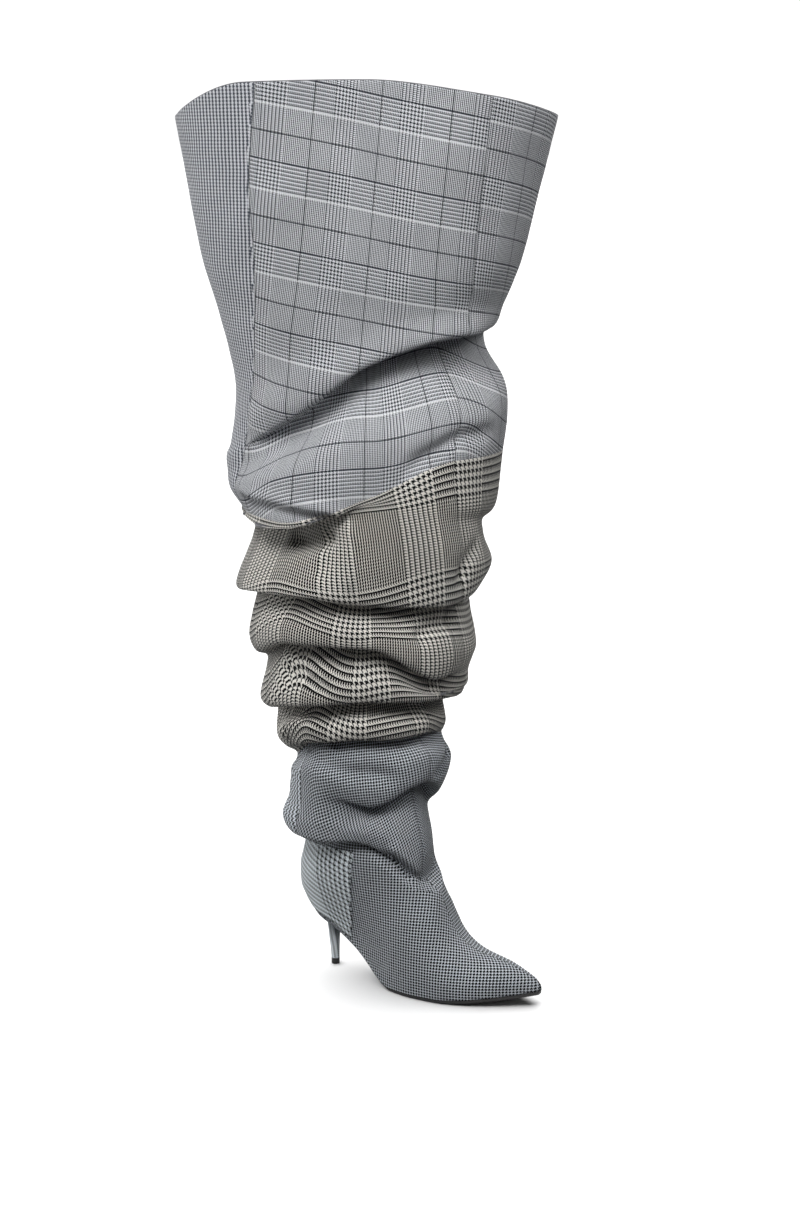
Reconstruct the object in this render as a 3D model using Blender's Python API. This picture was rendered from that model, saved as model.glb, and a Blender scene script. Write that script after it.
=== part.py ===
"""Right thigh-high boot: a pointed woven upper on a slender heel, with a wide shaft slouched in rolls.

Sizes are millimetres until a mesh is made.  X runs from the back of the heel to the toe, -Y is the
outer side of the foot and Z is up from the floor.  The boot stands on the flat of its forefoot,
where its origin lies, and on the tip of its heel.
"""
import math

import bmesh
import bpy
import numpy as np

# Driving dimensions
FOOT_LENGTH = 254.0        # back of the heel to the tip of the toe, along the floor
BALL_WIDTH = 76.0          # sole, across the ball
HEEL_HEIGHT = 63.0         # floor to the sole at the back of the seat
INSTEP_HEIGHT = 98.0       # floor to the lowest point of the ankle line, in front
COLLAR_HEIGHT = 845.0      # floor to the top of the collar
COLLAR_REACH = 170.0       # shaft axis to the widest point of the collar

# Materials and clearances
WALL = 1.6                 # woven cloth with its lining
GAP = 0.3                  # between pieces that touch
FEATHER_GAP = 0.5          # between the upper's lower edge and the sole
SOLE_FOREFOOT = 3.6        # sole thickness under the ball
SOLE_WAIST = 2.6           # sole thickness from the arch back
SOLE_INSET = 1.0           # sole edge inside the upper's lower edge
SOLE_CHAMFER = 0.9
INSOLE_THICKNESS = 2.0
INSOLE_INSET = 3.2
COUNTER_THICKNESS = 0.9
COUNTER_FRONT = 59.0       # front edge of the heel's panel, where its line meets the floor
COUNTER_LEAN = 0.16        # how far that edge goes forward for its height
SHARPEST_MITRE = 0.4       # limits the wall's extra depth at a fold
SHARP_ANGLE = 50.0         # edges sharper than this are shaded as edges, in degrees

# Places along the foot, as shares of its length
SEAT_BACK = 0.051          # back end of the sole
HEEL_CENTRE = 0.138        # where the round of the heel begins
TOE_ROUND = 0.964          # where the round of the toe begins
ANKLE_FRONT = 0.587        # front of the ankle line
SHAFT_AXIS = 0.291
TREAD = 0.553              # middle of the flat forefoot
WAIST_END = 0.39           # where the thin waist of the sole ends
BALL = 0.50                # where the sole has its full thickness
INSOLE_END = 0.93
SWING_START = 0.52         # where the toe begins to turn inward
CLOSING_START = 0.20       # behind this the sides of the foot go straight up

# Shape of the foot's sections
TOE_SWING = 9.0            # how far the tip lies to the inner side
SWING_POWER = 1.6
ANKLE_HALF_WIDTH = 46.0
SIDE_SWELL = 0.07          # how far the sides bulge past the sole, as a share of its width
FULLNESS = 0.9             # below 1 the sections are fuller than a quarter ellipse
RIDGE_POWER = 0.7          # below 1 the sections crowd together up the instep
LEVEL_POWER = 1.35         # above 1 the rows crowd together at the sole

# Fineness of the solids
COLUMNS = 38               # points round each section
FOOT_ROWS = 12
SECTION_SAMPLES = 181
LONGEST_SPAN = 18.0        # two rings further apart than this have a row between them
SOLE_STATIONS = 44
HEEL_SIDES = 20
COUNTER_REACH = 10         # columns to each side that the heel's panel is cut from

# Sole: shares of foot length, ball width (outer and inner half) and heel height
#        along  outer  inner  bottom
SOLE = [(0.039, 0.310, 0.310, 1.000),
        (0.088, 0.322, 0.318, 0.944),
        (0.137, 0.329, 0.312, 0.857),
        (0.186, 0.322, 0.289, 0.756),
        (0.235, 0.316, 0.263, 0.614),
        (0.284, 0.322, 0.243, 0.470),
        (0.333, 0.349, 0.250, 0.298),
        (0.382, 0.395, 0.289, 0.127),
        (0.422, 0.441, 0.336, 0.029),
        (0.461, 0.480, 0.388, 0.000),
        (0.553, 0.526, 0.461, 0.000),
        (0.645, 0.522, 0.474, 0.000),
        (0.740, 0.463, 0.428, 0.025),
        (0.830, 0.349, 0.322, 0.070),
        (0.920, 0.200, 0.184, 0.120),
        (0.970, 0.110, 0.100, 0.152),
        (1.000, 0.060, 0.055, 0.167)]

# Top line of the foot: the ankle line from the back, then the ridge down to the toe
#       along  height, as shares of foot length and instep height
TOP = [(0.029, 1.347),
       (0.157, 1.398),
       (0.294, 1.418),
       (0.392, 1.347),
       (0.471, 1.214),
       (0.545, 1.070),
       (0.587, 1.000),
       (0.612, 0.860),
       (0.640, 0.690),
       (0.670, 0.580),
       (0.715, 0.485),
       (0.760, 0.435),
       (0.805, 0.410),
       (0.860, 0.380),
       (0.900, 0.345),
       (0.940, 0.300),
       (0.972, 0.258),
       (1.000, 0.190)]

# Back of the heel: share of the way from the sole up to the ankle line, and distance behind it
#             level  back
HEEL_BACK = [(0.00, 13.0),
             (0.10, 5.5),
             (0.25, 0.5),
             (0.40, 0.0),
             (0.60, 1.0),
             (0.80, 4.5),
             (1.00, 8.0)]

# Six directions round the shaft, in degrees from the toe; the outer side is negative
DIRECTIONS = (-150.0, -105.0, -60.0, -15.0, 30.0, 120.0)

# Each fold, from the thigh down: the height of its lip in the six directions, from the floor, and
# for the lowest one, from the ankle line
#              outer                       inner  inner
#              back   outer  front  front  front  back
LIP_HEIGHT = {
    "thigh":   (508.0, 534.0, 590.0, 620.0, 623.0, 560.0),
    "knee":    (446.0, 456.0, 468.0, 462.0, 446.0, 446.0),
    "calf":    (380.0, 388.0, 385.0, 380.0, 378.0, 378.0),
    "shin":    (320.0, 335.0, 334.0, 308.0, 310.0, 312.0),
    "low":     (264.0, 276.0, 289.0, 283.0, 272.0, 266.0),
    "seam":    (218.0, 246.0, 254.0, 255.0, 240.0, 232.0),
    "ankle":   (192.0, 190.0, 187.0, 204.0, 174.0, 182.0),
    "foot":    (13.0, 12.0, 16.0, 9.0, 10.0, 12.0)}

# How far each fold hangs over: 0 is a soft valley and 1 a full overhanging tuck
TUCK = {
    "thigh":   (0.00, 0.45, 0.90, 1.00, 0.10, 0.10),
    "knee":    (0.00, 1.00, 0.45, 0.00, 0.00, 0.40),
    "calf":    (0.60, 1.00, 1.00, 0.90, 0.00, 0.70),
    "shin":    (0.40, 1.00, 0.90, 0.35, 0.00, 0.50),
    "low":     (0.60, 1.00, 1.00, 1.00, 0.80, 0.70),
    "seam":    (0.10, 1.00, 1.00, 0.80, 0.20, 0.60),
    "ankle":   (0.00, 0.00, 0.50, 1.00, 0.20, 0.10),
    "foot":    (0.60, 1.00, 1.00, 0.60, 0.00, 0.60)}

# Reach of the roll above each fold, from the shaft's axis
ROLL_REACH = {
    "thigh":   (122.0, 115.0, 98.0, 116.0, 122.0, 106.0),
    "knee":    (128.0, 119.0, 99.0, 112.0, 127.0, 100.0),
    "calf":    (124.0, 112.0, 96.0, 106.0, 114.0, 98.0),
    "shin":    (112.0, 104.0, 90.0, 97.0, 101.0, 90.0),
    "low":     (103.0, 94.0, 82.0, 86.0, 90.0, 80.0),
    "seam":    (88.0, 80.0, 70.0, 74.0, 72.0, 70.0),
    "ankle":   (80.0, 72.0, 64.0, 74.0, 77.0, 66.0),
    "foot":    (84.0, 70.0, 58.0, 66.0, 59.0, 58.0)}

# Reach of the valley under each roll
VALLEY_REACH = {
    "thigh":   (132.0, 106.0, 82.0, 92.0, 95.0, 100.0),
    "knee":    (102.0, 95.0, 88.0, 99.0, 100.0, 88.0),
    "calf":    (104.0, 92.0, 78.0, 88.0, 93.0, 82.0),
    "shin":    (96.0, 84.0, 72.0, 82.0, 93.0, 78.0),
    "low":     (87.0, 74.0, 62.0, 64.0, 68.0, 62.0),
    "seam":    (70.0, 62.0, 54.0, 58.0, 68.0, 56.0),
    "ankle":   (79.0, 69.0, 54.0, 56.0, 53.0, 56.0),
    "foot":    (62.0, 48.0, 46.0, 60.0, 61.0, 50.0)}

# Plain rings of the shaft: the collar, the thigh under it, and the seam between the two cloths
COLLAR_RISE = (-32.0, -3.0, -1.0, -14.0, -31.0, -33.0)
COLLAR_SHARE = (1.00, 0.87, 0.70, 0.87, 0.99, 0.73)
THIGH_HEIGHT = 690.0
THIGH_REACH = (149.0, 128.0, 106.0, 126.0, 138.0, 113.0)
KNEE_SEAM_HEIGHT = (462.0, 466.0, 488.0, 515.0, 515.0, 480.0)
KNEE_SEAM_REACH = (117.0, 116.0, 98.0, 112.0, 124.0, 98.0)

# Where a roll is widest, up the way from its lip to the lip above
CREST_SHARE = {"thigh": 0.40, "knee": 0.52, "calf": 0.42, "shin": 0.35,
               "low": 0.35, "seam": 0.35, "ankle": 0.58, "foot": 0.35}

# Shape of a fold
TUCK_RISE = 5.0            # how far a full tuck goes up behind its lip
LIP_ROUND = 3.0
SHOULDER_SHARE = 0.28      # how far a roll has come out of the valley just under the lip above
SMOOTH_STEP = 8.0          # spacing of the same rows where the cloth is smooth
CREASE = 5.0               # from a lip down to the roll under it

# Heel: centre along the foot, half length and half width, at shares of the heel's height from the
# tip up, and the same three sizes at the tip and under the sole
#        height centre length width
HEEL = [(0.30, 33.5, 4.6, 4.5),
        (0.48, 33.0, 5.6, 5.4),
        (0.64, 33.5, 7.0, 6.8),
        (0.78, 34.0, 9.2, 9.0)]
HEEL_TIP = (34.0, 3.9, 3.8)
HEEL_SEAT = (34.5, 13.0, 12.0)
TOP_PIECE = (34.0, 4.1, 4.0)
TOP_PIECE_HEIGHT = 5.6

# Finishes: linear red, green and blue, and roughness
FINISHES = {
    "black_sole_leather":    ((0.012, 0.012, 0.013), 0.45),
    "heel_tip_rubber":       ((0.010, 0.010, 0.010), 0.50),
    "insole_leather":        ((0.050, 0.045, 0.042), 0.60),
    "heel_check_cloth":      ((0.300, 0.310, 0.330), 0.75),
    "counter_check_cloth":   ((0.300, 0.320, 0.350), 0.80),
    "puppytooth_cloth":      ((0.200, 0.220, 0.250), 0.80),
    "ecru_check_cloth":      ((0.360, 0.340, 0.290), 0.80),
    "blue_grey_check_cloth": ((0.270, 0.290, 0.320), 0.80)}


def curve(knots, values, at, limit=True):
    """Smooth curve through the values at the knots; with limit it never overshoots them."""
    knots = np.asarray(knots, float)
    values = np.asarray(values, float)
    shape = (-1,) + (1,) * (values.ndim - 1)
    steps = np.diff(knots).reshape(shape)
    slopes = np.diff(values, axis=0) / steps
    before, after = slopes[:-1], slopes[1:]
    tangents = np.empty_like(values)
    tangents[0], tangents[-1] = slopes[0], slopes[-1]
    if limit:
        product = before * after
        total = np.where(product > 0, before + after, 1.0)
        tangents[1:-1] = np.where(product > 0, 2 * product / total, 0.0)
    else:
        tangents[1:-1] = (before * steps[1:] + after * steps[:-1]) / (steps[1:] + steps[:-1])
    at = np.clip(np.asarray(at, float), knots[0], knots[-1])
    i = np.clip(np.searchsorted(knots, at, side="right") - 1, 0, len(knots) - 2)
    step = steps[i]
    t = ((at - knots[i]).reshape(shape)) / step
    return (values[i] * (1 + 2 * t) * (1 - t) ** 2 + tangents[i] * step * t * (1 - t) ** 2
            + values[i + 1] * t * t * (3 - 2 * t) + tangents[i + 1] * step * t * t * (t - 1))


def around(values, degrees):
    """A size given in the six directions, read smoothly at any angle round the shaft."""
    first, last = DIRECTIONS[0], DIRECTIONS[-1]
    knots = (last - 360.0,) + DIRECTIONS + (first + 360.0,)
    cyclic = (values[-1],) + tuple(values) + (values[0],)
    turned = (np.asarray(degrees) - first) % 360.0 + first
    return curve(knots, cyclic, turned)


def sole_column(column, x):
    """One column of the sole's table at a distance along the foot."""
    rows = np.array(SOLE)
    return curve(rows[:, 0] * FOOT_LENGTH, rows[:, column], x)


def sole_bottom(x):
    return sole_column(3, x) * HEEL_HEIGHT


def sole_top(x):
    thickness = curve((0.0, WAIST_END * FOOT_LENGTH, BALL * FOOT_LENGTH, FOOT_LENGTH),
                      (SOLE_WAIST, SOLE_WAIST, SOLE_FOREFOOT, SOLE_FOREFOOT), x)
    return sole_bottom(x) + thickness


def swing(x):
    """How far the middle of the foot lies to the inner side."""
    start = SWING_START * FOOT_LENGTH
    share = np.clip((x - start) / (FOOT_LENGTH - start), 0.0, 1.0)
    return TOE_SWING * share ** SWING_POWER


def end_round(x, back):
    """Share of the width left near the round heel and the round tip of the toe."""
    centre = HEEL_CENTRE * FOOT_LENGTH
    toe = TOE_ROUND * FOOT_LENGTH
    behind = np.clip((centre - x) / (centre - back), 0.0, 1.0)
    ahead = np.clip((x - toe) / (FOOT_LENGTH - toe), 0.0, 1.0)
    return np.sqrt((1 - behind ** 2) * (1 - ahead ** 2))


def foot_side(level, side):
    """One side of the foot's section at a level from the sole (0) to the ankle line (1)."""
    back = float(curve(*zip(*HEEL_BACK), [level])[0])
    ankle = ANKLE_FRONT * FOOT_LENGTH
    front = ankle + (FOOT_LENGTH - ankle) * (1 - level) ** (1 / RIDGE_POWER)
    middle, half = (back + front) / 2, (front - back) / 2
    x = middle - half * np.cos(np.linspace(0.0, math.pi, SECTION_SAMPLES))
    ahead = np.clip((x - ankle) / (FOOT_LENGTH - ankle), 0.0, 1.0)
    highest = np.maximum(1 - ahead ** RIDGE_POWER, 1e-9)
    climb = np.clip(level / highest, 0.0, 1.0) * math.pi / 2
    sole_half = sole_column(1 if side < 0 else 2, x) * BALL_WIDTH * end_round(x, back)
    opening = 1 - ((2 * x - back - ankle) / (ankle - back)) ** 2
    ankle_half = ANKLE_HALF_WIDTH * np.sqrt(np.clip(opening, 0.0, 1.0))
    swell = 1 + SIDE_SWELL * np.sin(2 * climb)
    y = np.hypot(sole_half * swell * np.cos(climb) ** FULLNESS, ankle_half * np.sin(climb))
    top = curve(*(np.array(TOP).T * [[FOOT_LENGTH], [INSTEP_HEIGHT]]), x)
    closing = curve((CLOSING_START * FOOT_LENGTH, ankle), (0.0, 1.0), x)
    rise = (1 - closing) * climb / (math.pi / 2) + closing * np.sin(climb) ** FULLNESS
    low = sole_top(x) + FEATHER_GAP
    return np.stack([x, swing(x) + side * y, low + (top - low) * rise], axis=1)


def even_points(line, count):
    """Points at even distances along a line, its last end left out."""
    lengths = np.concatenate([[0.0], np.cumsum(np.linalg.norm(np.diff(line, axis=0), axis=1))])
    at = np.linspace(0.0, lengths[-1], count + 1)[:-1]
    return np.stack([np.interp(at, lengths, line[:, k]) for k in range(3)], axis=1)


def foot_section(level):
    """A section round the foot: heel, outer side, toe, inner side."""
    outer = even_points(foot_side(level, -1.0), COLUMNS // 2)
    inner = even_points(foot_side(level, 1.0)[::-1], COLUMNS // 2)
    return np.concatenate([outer, inner])


def ring(degrees, reach, height):
    """A ring of the shaft from its reach and height at each angle."""
    angle = np.radians(degrees)
    x = SHAFT_AXIS * FOOT_LENGTH + reach * np.cos(angle)
    return np.stack([x, reach * np.sin(angle), height], axis=1)


def shaft_rings(ankle_ring, below):
    """Named rings of the shaft, from the ankle line up to the collar."""
    degrees = np.degrees(np.arctan2(ankle_ring[:, 1], ankle_ring[:, 0] - SHAFT_AXIS * FOOT_LENGTH))
    names = list(LIP_HEIGHT)
    rings = [("below", below), ("ankle_line", ankle_ring)]
    under = None
    for k in reversed(range(len(names))):
        name = names[k]
        lip = around(LIP_HEIGHT[name], degrees) + (ankle_ring[:, 2] if name == "foot" else 0.0)
        tuck = around(TUCK[name], degrees)
        reach = around(ROLL_REACH[name], degrees)
        valley = around(VALLEY_REACH[name], degrees)
        above = around(LIP_HEIGHT[names[k - 1]], degrees) if k else THIGH_HEIGHT
        smooth = SMOOTH_STEP * (1 - tuck)
        if under is not None:
            shoulder = valley + SHOULDER_SHARE * (under - valley)
            rings.append((name + "_under", ring(degrees, shoulder, lip - smooth - CREASE * tuck)))
        rings.append((name + "_tuck", ring(degrees, valley, lip + TUCK_RISE * tuck)))
        lip_reach = (reach + valley) / 2 * (1 - tuck) + (reach - LIP_ROUND) * tuck
        rings.append((name + "_lip", ring(degrees, lip_reach, lip + smooth)))
        if name == "knee":
            rings.append(("knee_seam", ring(degrees, around(KNEE_SEAM_REACH, degrees),
                                            around(KNEE_SEAM_HEIGHT, degrees))))
        rings.append((name + "_roll", ring(degrees, reach, lip + CREST_SHARE[name] * (above - lip))))
        under = reach
    rings.append(("thigh_ring", ring(degrees, around(THIGH_REACH, degrees),
                                     np.full_like(degrees, THIGH_HEIGHT))))
    rings.append(("collar", ring(degrees, COLLAR_REACH * around(COLLAR_SHARE, degrees),
                                 COLLAR_HEIGHT + around(COLLAR_RISE, degrees))))
    return rings


def boot_surface():
    """Outer face of foot and shaft as rows of points, with the row number of each named ring."""
    levels = np.linspace(0.0, 1.0, FOOT_ROWS) ** LEVEL_POWER
    rows = [foot_section(level) for level in levels]
    rings = shaft_rings(rows[-1], rows[-2])
    points = np.array([ring_points for _, ring_points in rings])
    spans = np.linalg.norm(np.diff(points, axis=0), axis=2).mean(axis=1)
    knots = np.concatenate([[0.0], np.cumsum(np.sqrt(spans))])
    named = {"feather": 0, "ankle_line": FOOT_ROWS - 1}
    at = []
    for k in range(1, len(rings) - 1):
        parts = 2 if spans[k] > LONGEST_SPAN else 1
        at.extend(knots[k] + (knots[k + 1] - knots[k]) * np.arange(1, parts + 1) / parts)
        named[rings[k + 1][0]] = FOOT_ROWS - 1 + len(at)
    return np.concatenate([np.array(rows), curve(knots, points, at, limit=False)]), named


def outward(rows):
    """Normals of the rows of points, longer at a sharp fold so that the wall keeps its thickness.

    The lowest row looks straight out to the sides.
    """
    round_ = np.roll(rows, -1, axis=1) - np.roll(rows, 1, axis=1)
    faces = np.cross((round_[:-1] + round_[1:]) / 2, np.diff(rows, axis=0))
    faces /= np.linalg.norm(faces, axis=2, keepdims=True)
    below = np.concatenate([faces[:1], faces])
    above = np.concatenate([faces, faces[-1:]])
    normals = below + above
    normals[0, :, 2] = 0.0
    normals /= np.linalg.norm(normals, axis=2, keepdims=True)
    mitre = 1 / np.clip((normals * above).sum(axis=2, keepdims=True), SHARPEST_MITRE, 1.0)
    mitre[0] = 1.0
    return normals * mitre


def material(name):
    colour, roughness = FINISHES[name]
    made = bpy.data.materials.new(name)
    made.use_nodes = True
    shader = made.node_tree.nodes["Principled BSDF"]
    shader.inputs["Base Color"].default_value = (*colour, 1.0)
    shader.inputs["Roughness"].default_value = roughness
    shader.inputs["Metallic"].default_value = 0.0
    return made


def add_object(name, points, faces, finish, parent):
    """One closed mesh in its finish, turned from millimetres to metres, under the boot's empty."""
    mesh = bpy.data.meshes.new(name)
    mesh.from_pydata((np.asarray(points) / 1000.0).tolist(), [], faces)
    mesh.shade_smooth()
    mesh.set_sharp_from_angle(angle=math.radians(SHARP_ANGLE))
    mesh.materials.append(material(finish))
    made = bpy.data.objects.new(name, mesh)
    made.parent = parent
    bpy.context.scene.collection.objects.link(made)


def wall(outer, inner, closed=True):
    """Points and faces of a wall between two grids of points, open at its ends."""
    rows, columns = outer.shape[:2]
    inside = rows * columns
    faces = []
    for j in range(columns if closed else columns - 1):
        k = (j + 1) % columns
        for i in range(rows - 1):
            a, b = i * columns + j, i * columns + k
            c, d = b + columns, a + columns
            faces += [(a, b, c), (a, c, d)]
            faces += [(inside + a, inside + c, inside + b), (inside + a, inside + d, inside + c)]
        last = (rows - 1) * columns
        faces.append((j, inside + j, inside + k, k))
        faces.append((last + j, last + k, inside + last + k, inside + last + j))
    if not closed:
        for i in range(rows - 1):
            low, high = i * columns, (i + 1) * columns
            end = columns - 1
            faces.append((low, high, inside + high, inside + low))
            faces.append((low + end, inside + low + end, inside + high + end, high + end))
    return np.concatenate([outer.reshape(-1, 3), inner.reshape(-1, 3)]), faces


def part_behind(points, faces, place, forward):
    """Points and faces of the part of a closed mesh behind a plane, closed again along the cut."""
    body = bmesh.new()
    corners = [body.verts.new(point) for point in points]
    for face in faces:
        body.faces.new([corners[k] for k in face])
    everything = body.verts[:] + body.edges[:] + body.faces[:]
    bmesh.ops.bisect_plane(body, geom=everything, plane_co=place, plane_no=forward, clear_outer=True)
    bmesh.ops.holes_fill(body, edges=[edge for edge in body.edges if edge.is_boundary])
    body.verts.index_update()
    points = [tuple(corner.co) for corner in body.verts]
    faces = [tuple(corner.index for corner in face.verts) for face in body.faces]
    body.free()
    return points, faces


def strip(rows, normals, first, last, trim_first, trim_last):
    """Outer and inner grids of the wall from one row to another, each seam edge drawn back."""
    outer = rows[first:last + 1].copy()
    if trim_first:
        step = outer[1] - outer[0]
        outer[0] += step * (GAP / 2 / np.linalg.norm(step, axis=1, keepdims=True))
    if trim_last:
        step = outer[-2] - outer[-1]
        outer[-1] += step * (GAP / 2 / np.linalg.norm(step, axis=1, keepdims=True))
    return outer, outer - WALL * normals[first:last + 1]


def sides(count, columns):
    """Faces between closed loops of points, the lowest loop first."""
    faces = []
    for low in range(0, (count - 1) * columns, columns):
        for j in range(columns):
            k = (j + 1) % columns
            faces.append((low + j, low + k, low + columns + k, low + columns + j))
    return faces


def stack(loops):
    """Points and faces of closed loops lofted from the lowest up, capped at both ends."""
    loops = np.array(loops)
    count, columns = loops.shape[:2]
    bottom = tuple(range(columns))[::-1]
    top = tuple(range((count - 1) * columns, count * columns))
    return loops.reshape(-1, 3), sides(count, columns) + [bottom, top]


def plate(low_x, high_x, edges):
    """Points and faces of a plate that follows the foot, from edges (inset, height), lowest first.

    Every edge runs once round the outline with the same stations on its outer and inner side, so
    that the plate is straight from side to side.  The sides meet in one point at the heel.
    """
    middle, half = (low_x + high_x) / 2, (high_x - low_x) / 2
    shares = -np.cos(np.linspace(0.0, math.pi, SOLE_STATIONS))
    loops = []
    for inset, height in edges:
        x = middle + (half - inset) * shares
        narrowing = end_round(x, low_x + inset)
        outer = (sole_column(1, x) * BALL_WIDTH - inset) * narrowing
        inner = (sole_column(2, x) * BALL_WIDTH - inset) * narrowing
        outer_line = np.stack([x, swing(x) - outer, height(x)], axis=1)
        inner_line = np.stack([x, swing(x) + inner, height(x)], axis=1)
        loops.append(np.concatenate([outer_line, inner_line[:0:-1]]))
    points = np.array(loops)
    columns = points.shape[1]
    faces = sides(len(edges), columns)
    caps = [(j, j + 1, columns - 1 - j, columns - j) for j in range(1, SOLE_STATIONS - 1)]
    top = (len(edges) - 1) * columns
    for face in [(0, 1, columns - 1)] + caps:
        faces.append(face[::-1])
        faces.append(tuple(top + corner for corner in face))
    return points.reshape(-1, 3), faces


def add_sole(parent):
    edges = [(SOLE_INSET + SOLE_CHAMFER, sole_bottom),
             (SOLE_INSET, lambda x: sole_bottom(x) + SOLE_CHAMFER),
             (SOLE_INSET, sole_top)]
    sole = plate(SEAT_BACK * FOOT_LENGTH, FOOT_LENGTH, edges)
    add_object("outsole", *sole, "black_sole_leather", parent)


def add_insole(parent):
    edges = [(INSOLE_INSET, lambda x: sole_top(x) + FEATHER_GAP),
             (INSOLE_INSET, lambda x: sole_top(x) + FEATHER_GAP + INSOLE_THICKNESS)]
    sock = plate(SEAT_BACK * FOOT_LENGTH, INSOLE_END * FOOT_LENGTH, edges)
    add_object("insole", *sock, "insole_leather", parent)


def oval(centre, half_length, half_width, height):
    angle = np.linspace(0.0, 2 * math.pi, HEEL_SIDES, endpoint=False)
    x = centre + half_length * np.cos(angle)
    return np.stack([x, half_width * np.sin(angle), np.full_like(x, height)], axis=1)


def add_heel(parent):
    """The slender heel, from its tip up to the slanted seat, and the black piece under it."""
    seat = oval(*HEEL_SEAT, 0.0)
    seat[:, 2] = sole_bottom(seat[:, 0]) - GAP
    loops = [oval(*HEEL_TIP, TOP_PIECE_HEIGHT + GAP)]
    loops += [oval(*sizes, height * HEEL_HEIGHT) for height, *sizes in HEEL]
    loops.append(seat)
    add_object("heel", *stack(loops), "heel_check_cloth", parent)
    tip = [oval(*TOP_PIECE, 0.0), oval(*TOP_PIECE, TOP_PIECE_HEIGHT)]
    add_object("top_piece", *stack(tip), "heel_tip_rubber", parent)


def add_upper_and_shaft(rows, named, normals, parent):
    """The foot and ankle, and the two cloth tubes over them, end to end along the same rows."""
    seam, knee, collar = named["seam_tuck"], named["knee_seam"], named["collar"]
    pieces = [("upper", 0, seam, False, True, "puppytooth_cloth"),
              ("shaft_middle", seam, knee, True, True, "ecru_check_cloth"),
              ("shaft_top", knee, collar, True, False, "blue_grey_check_cloth")]
    for name, first, last, trim_first, trim_last, finish in pieces:
        faces = strip(rows, normals, first, last, trim_first, trim_last)
        add_object(name, *wall(*faces), finish, parent)


def add_counter(rows, normals, parent):
    """The panel round the heel, laid on the upper, with a straight front edge on both sides."""
    columns = [j % COLUMNS for j in range(-COUNTER_REACH, COUNTER_REACH + 1)]
    face = rows[1:FOOT_ROWS][:, columns]
    out = normals[1:FOOT_ROWS][:, columns]
    panel = wall(face + (GAP + COUNTER_THICKNESS) * out, face + GAP * out, closed=False)
    cut = part_behind(*panel, (COUNTER_FRONT, 0.0, 0.0), (1.0, 0.0, -COUNTER_LEAN))
    add_object("heel_counter", *cut, "counter_check_cloth", parent)


def main():
    for existing in list(bpy.data.objects):
        bpy.data.objects.remove(existing, do_unlink=True)
    boot = bpy.data.objects.new("boot", None)
    boot.location = (-TREAD * FOOT_LENGTH / 1000.0, 0.0, 0.0)
    bpy.context.scene.collection.objects.link(boot)
    add_sole(boot)
    add_insole(boot)
    add_heel(boot)
    rows, named = boot_surface()
    normals = outward(rows)
    add_upper_and_shaft(rows, named, normals, boot)
    add_counter(rows, normals, boot)
    bpy.context.view_layer.update()


main()
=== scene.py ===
"""Looks of the right thigh-high boot: its check cloths, folds, seams, sole, floor, light and camera.

Sizes are millimetres until a mesh is made.  X runs from the back of the heel to the toe, -Y is the
outer side of the foot and Z is up from the floor, as in the solids that these pieces stand for.
"""

import math

import bpy
import numpy as np
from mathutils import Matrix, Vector, noise


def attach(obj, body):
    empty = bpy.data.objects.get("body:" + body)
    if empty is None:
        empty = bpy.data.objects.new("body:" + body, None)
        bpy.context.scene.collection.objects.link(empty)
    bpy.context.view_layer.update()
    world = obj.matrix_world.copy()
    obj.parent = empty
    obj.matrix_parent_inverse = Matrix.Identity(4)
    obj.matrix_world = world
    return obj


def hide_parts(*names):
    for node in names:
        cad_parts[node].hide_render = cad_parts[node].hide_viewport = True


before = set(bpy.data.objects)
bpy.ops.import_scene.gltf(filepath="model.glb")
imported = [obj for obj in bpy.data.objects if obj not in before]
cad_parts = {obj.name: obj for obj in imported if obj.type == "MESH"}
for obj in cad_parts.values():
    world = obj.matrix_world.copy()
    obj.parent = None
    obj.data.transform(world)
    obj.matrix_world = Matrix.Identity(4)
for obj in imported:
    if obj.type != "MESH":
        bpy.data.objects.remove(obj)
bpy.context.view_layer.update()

# Driving dimensions, as in the solids
FOOT_LENGTH = 254.0        # back of the heel to the tip of the toe, along the floor
BALL_WIDTH = 76.0          # sole, across the ball
HEEL_HEIGHT = 63.0         # floor to the sole at the back of the seat
INSTEP_HEIGHT = 98.0       # floor to the lowest point of the ankle line, in front
COLLAR_HEIGHT = 845.0      # floor to the top of the collar
COLLAR_REACH = 170.0       # shaft axis to the widest point of the collar
WALL = 1.6                 # woven cloth with its lining
GAP = 0.3                  # between pieces that touch
FEATHER_GAP = 0.5          # between the upper's lower edge and the sole
SOLE_FOREFOOT = 3.6        # sole thickness under the ball
SOLE_WAIST = 2.6           # sole thickness from the arch back
WAIST_COVER = 106.0        # front end of the cloth over the sole's waist
WAIST_CHECK = 1.4          # squares of that cloth
COUNTER_THICKNESS = 0.9
COUNTER_FRONT = 59.0       # front edge of the heel's panel, where its line meets the floor
COUNTER_LEAN = 0.16        # how far that edge goes forward for its height

# Places along the foot, as shares of its length
HEEL_CENTRE = 0.138        # where the round of the heel begins
TOE_ROUND = 0.964          # where the round of the toe begins
ANKLE_FRONT = 0.587        # front of the ankle line
SHAFT_AXIS = 0.291
TREAD = 0.553              # middle of the flat forefoot, where the origin lies
WAIST_END = 0.39           # where the thin waist of the sole ends
BALL = 0.50                # where the sole has its full thickness
SWING_START = 0.52         # where the toe begins to turn inward
CLOSING_START = 0.20       # behind this the sides of the foot go straight up

# Shape of the foot's sections
TOE_SWING = 9.0            # how far the tip lies to the inner side
SWING_POWER = 1.6
ANKLE_HALF_WIDTH = 46.0
SIDE_SWELL = 0.07          # how far the sides bulge past the sole, as a share of its width
FULLNESS = 0.9             # below 1 the sections are fuller than a quarter ellipse
RIDGE_POWER = 0.7          # below 1 the sections crowd together up the instep
LEVEL_POWER = 1.35         # above 1 the rows crowd together at the sole

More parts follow.
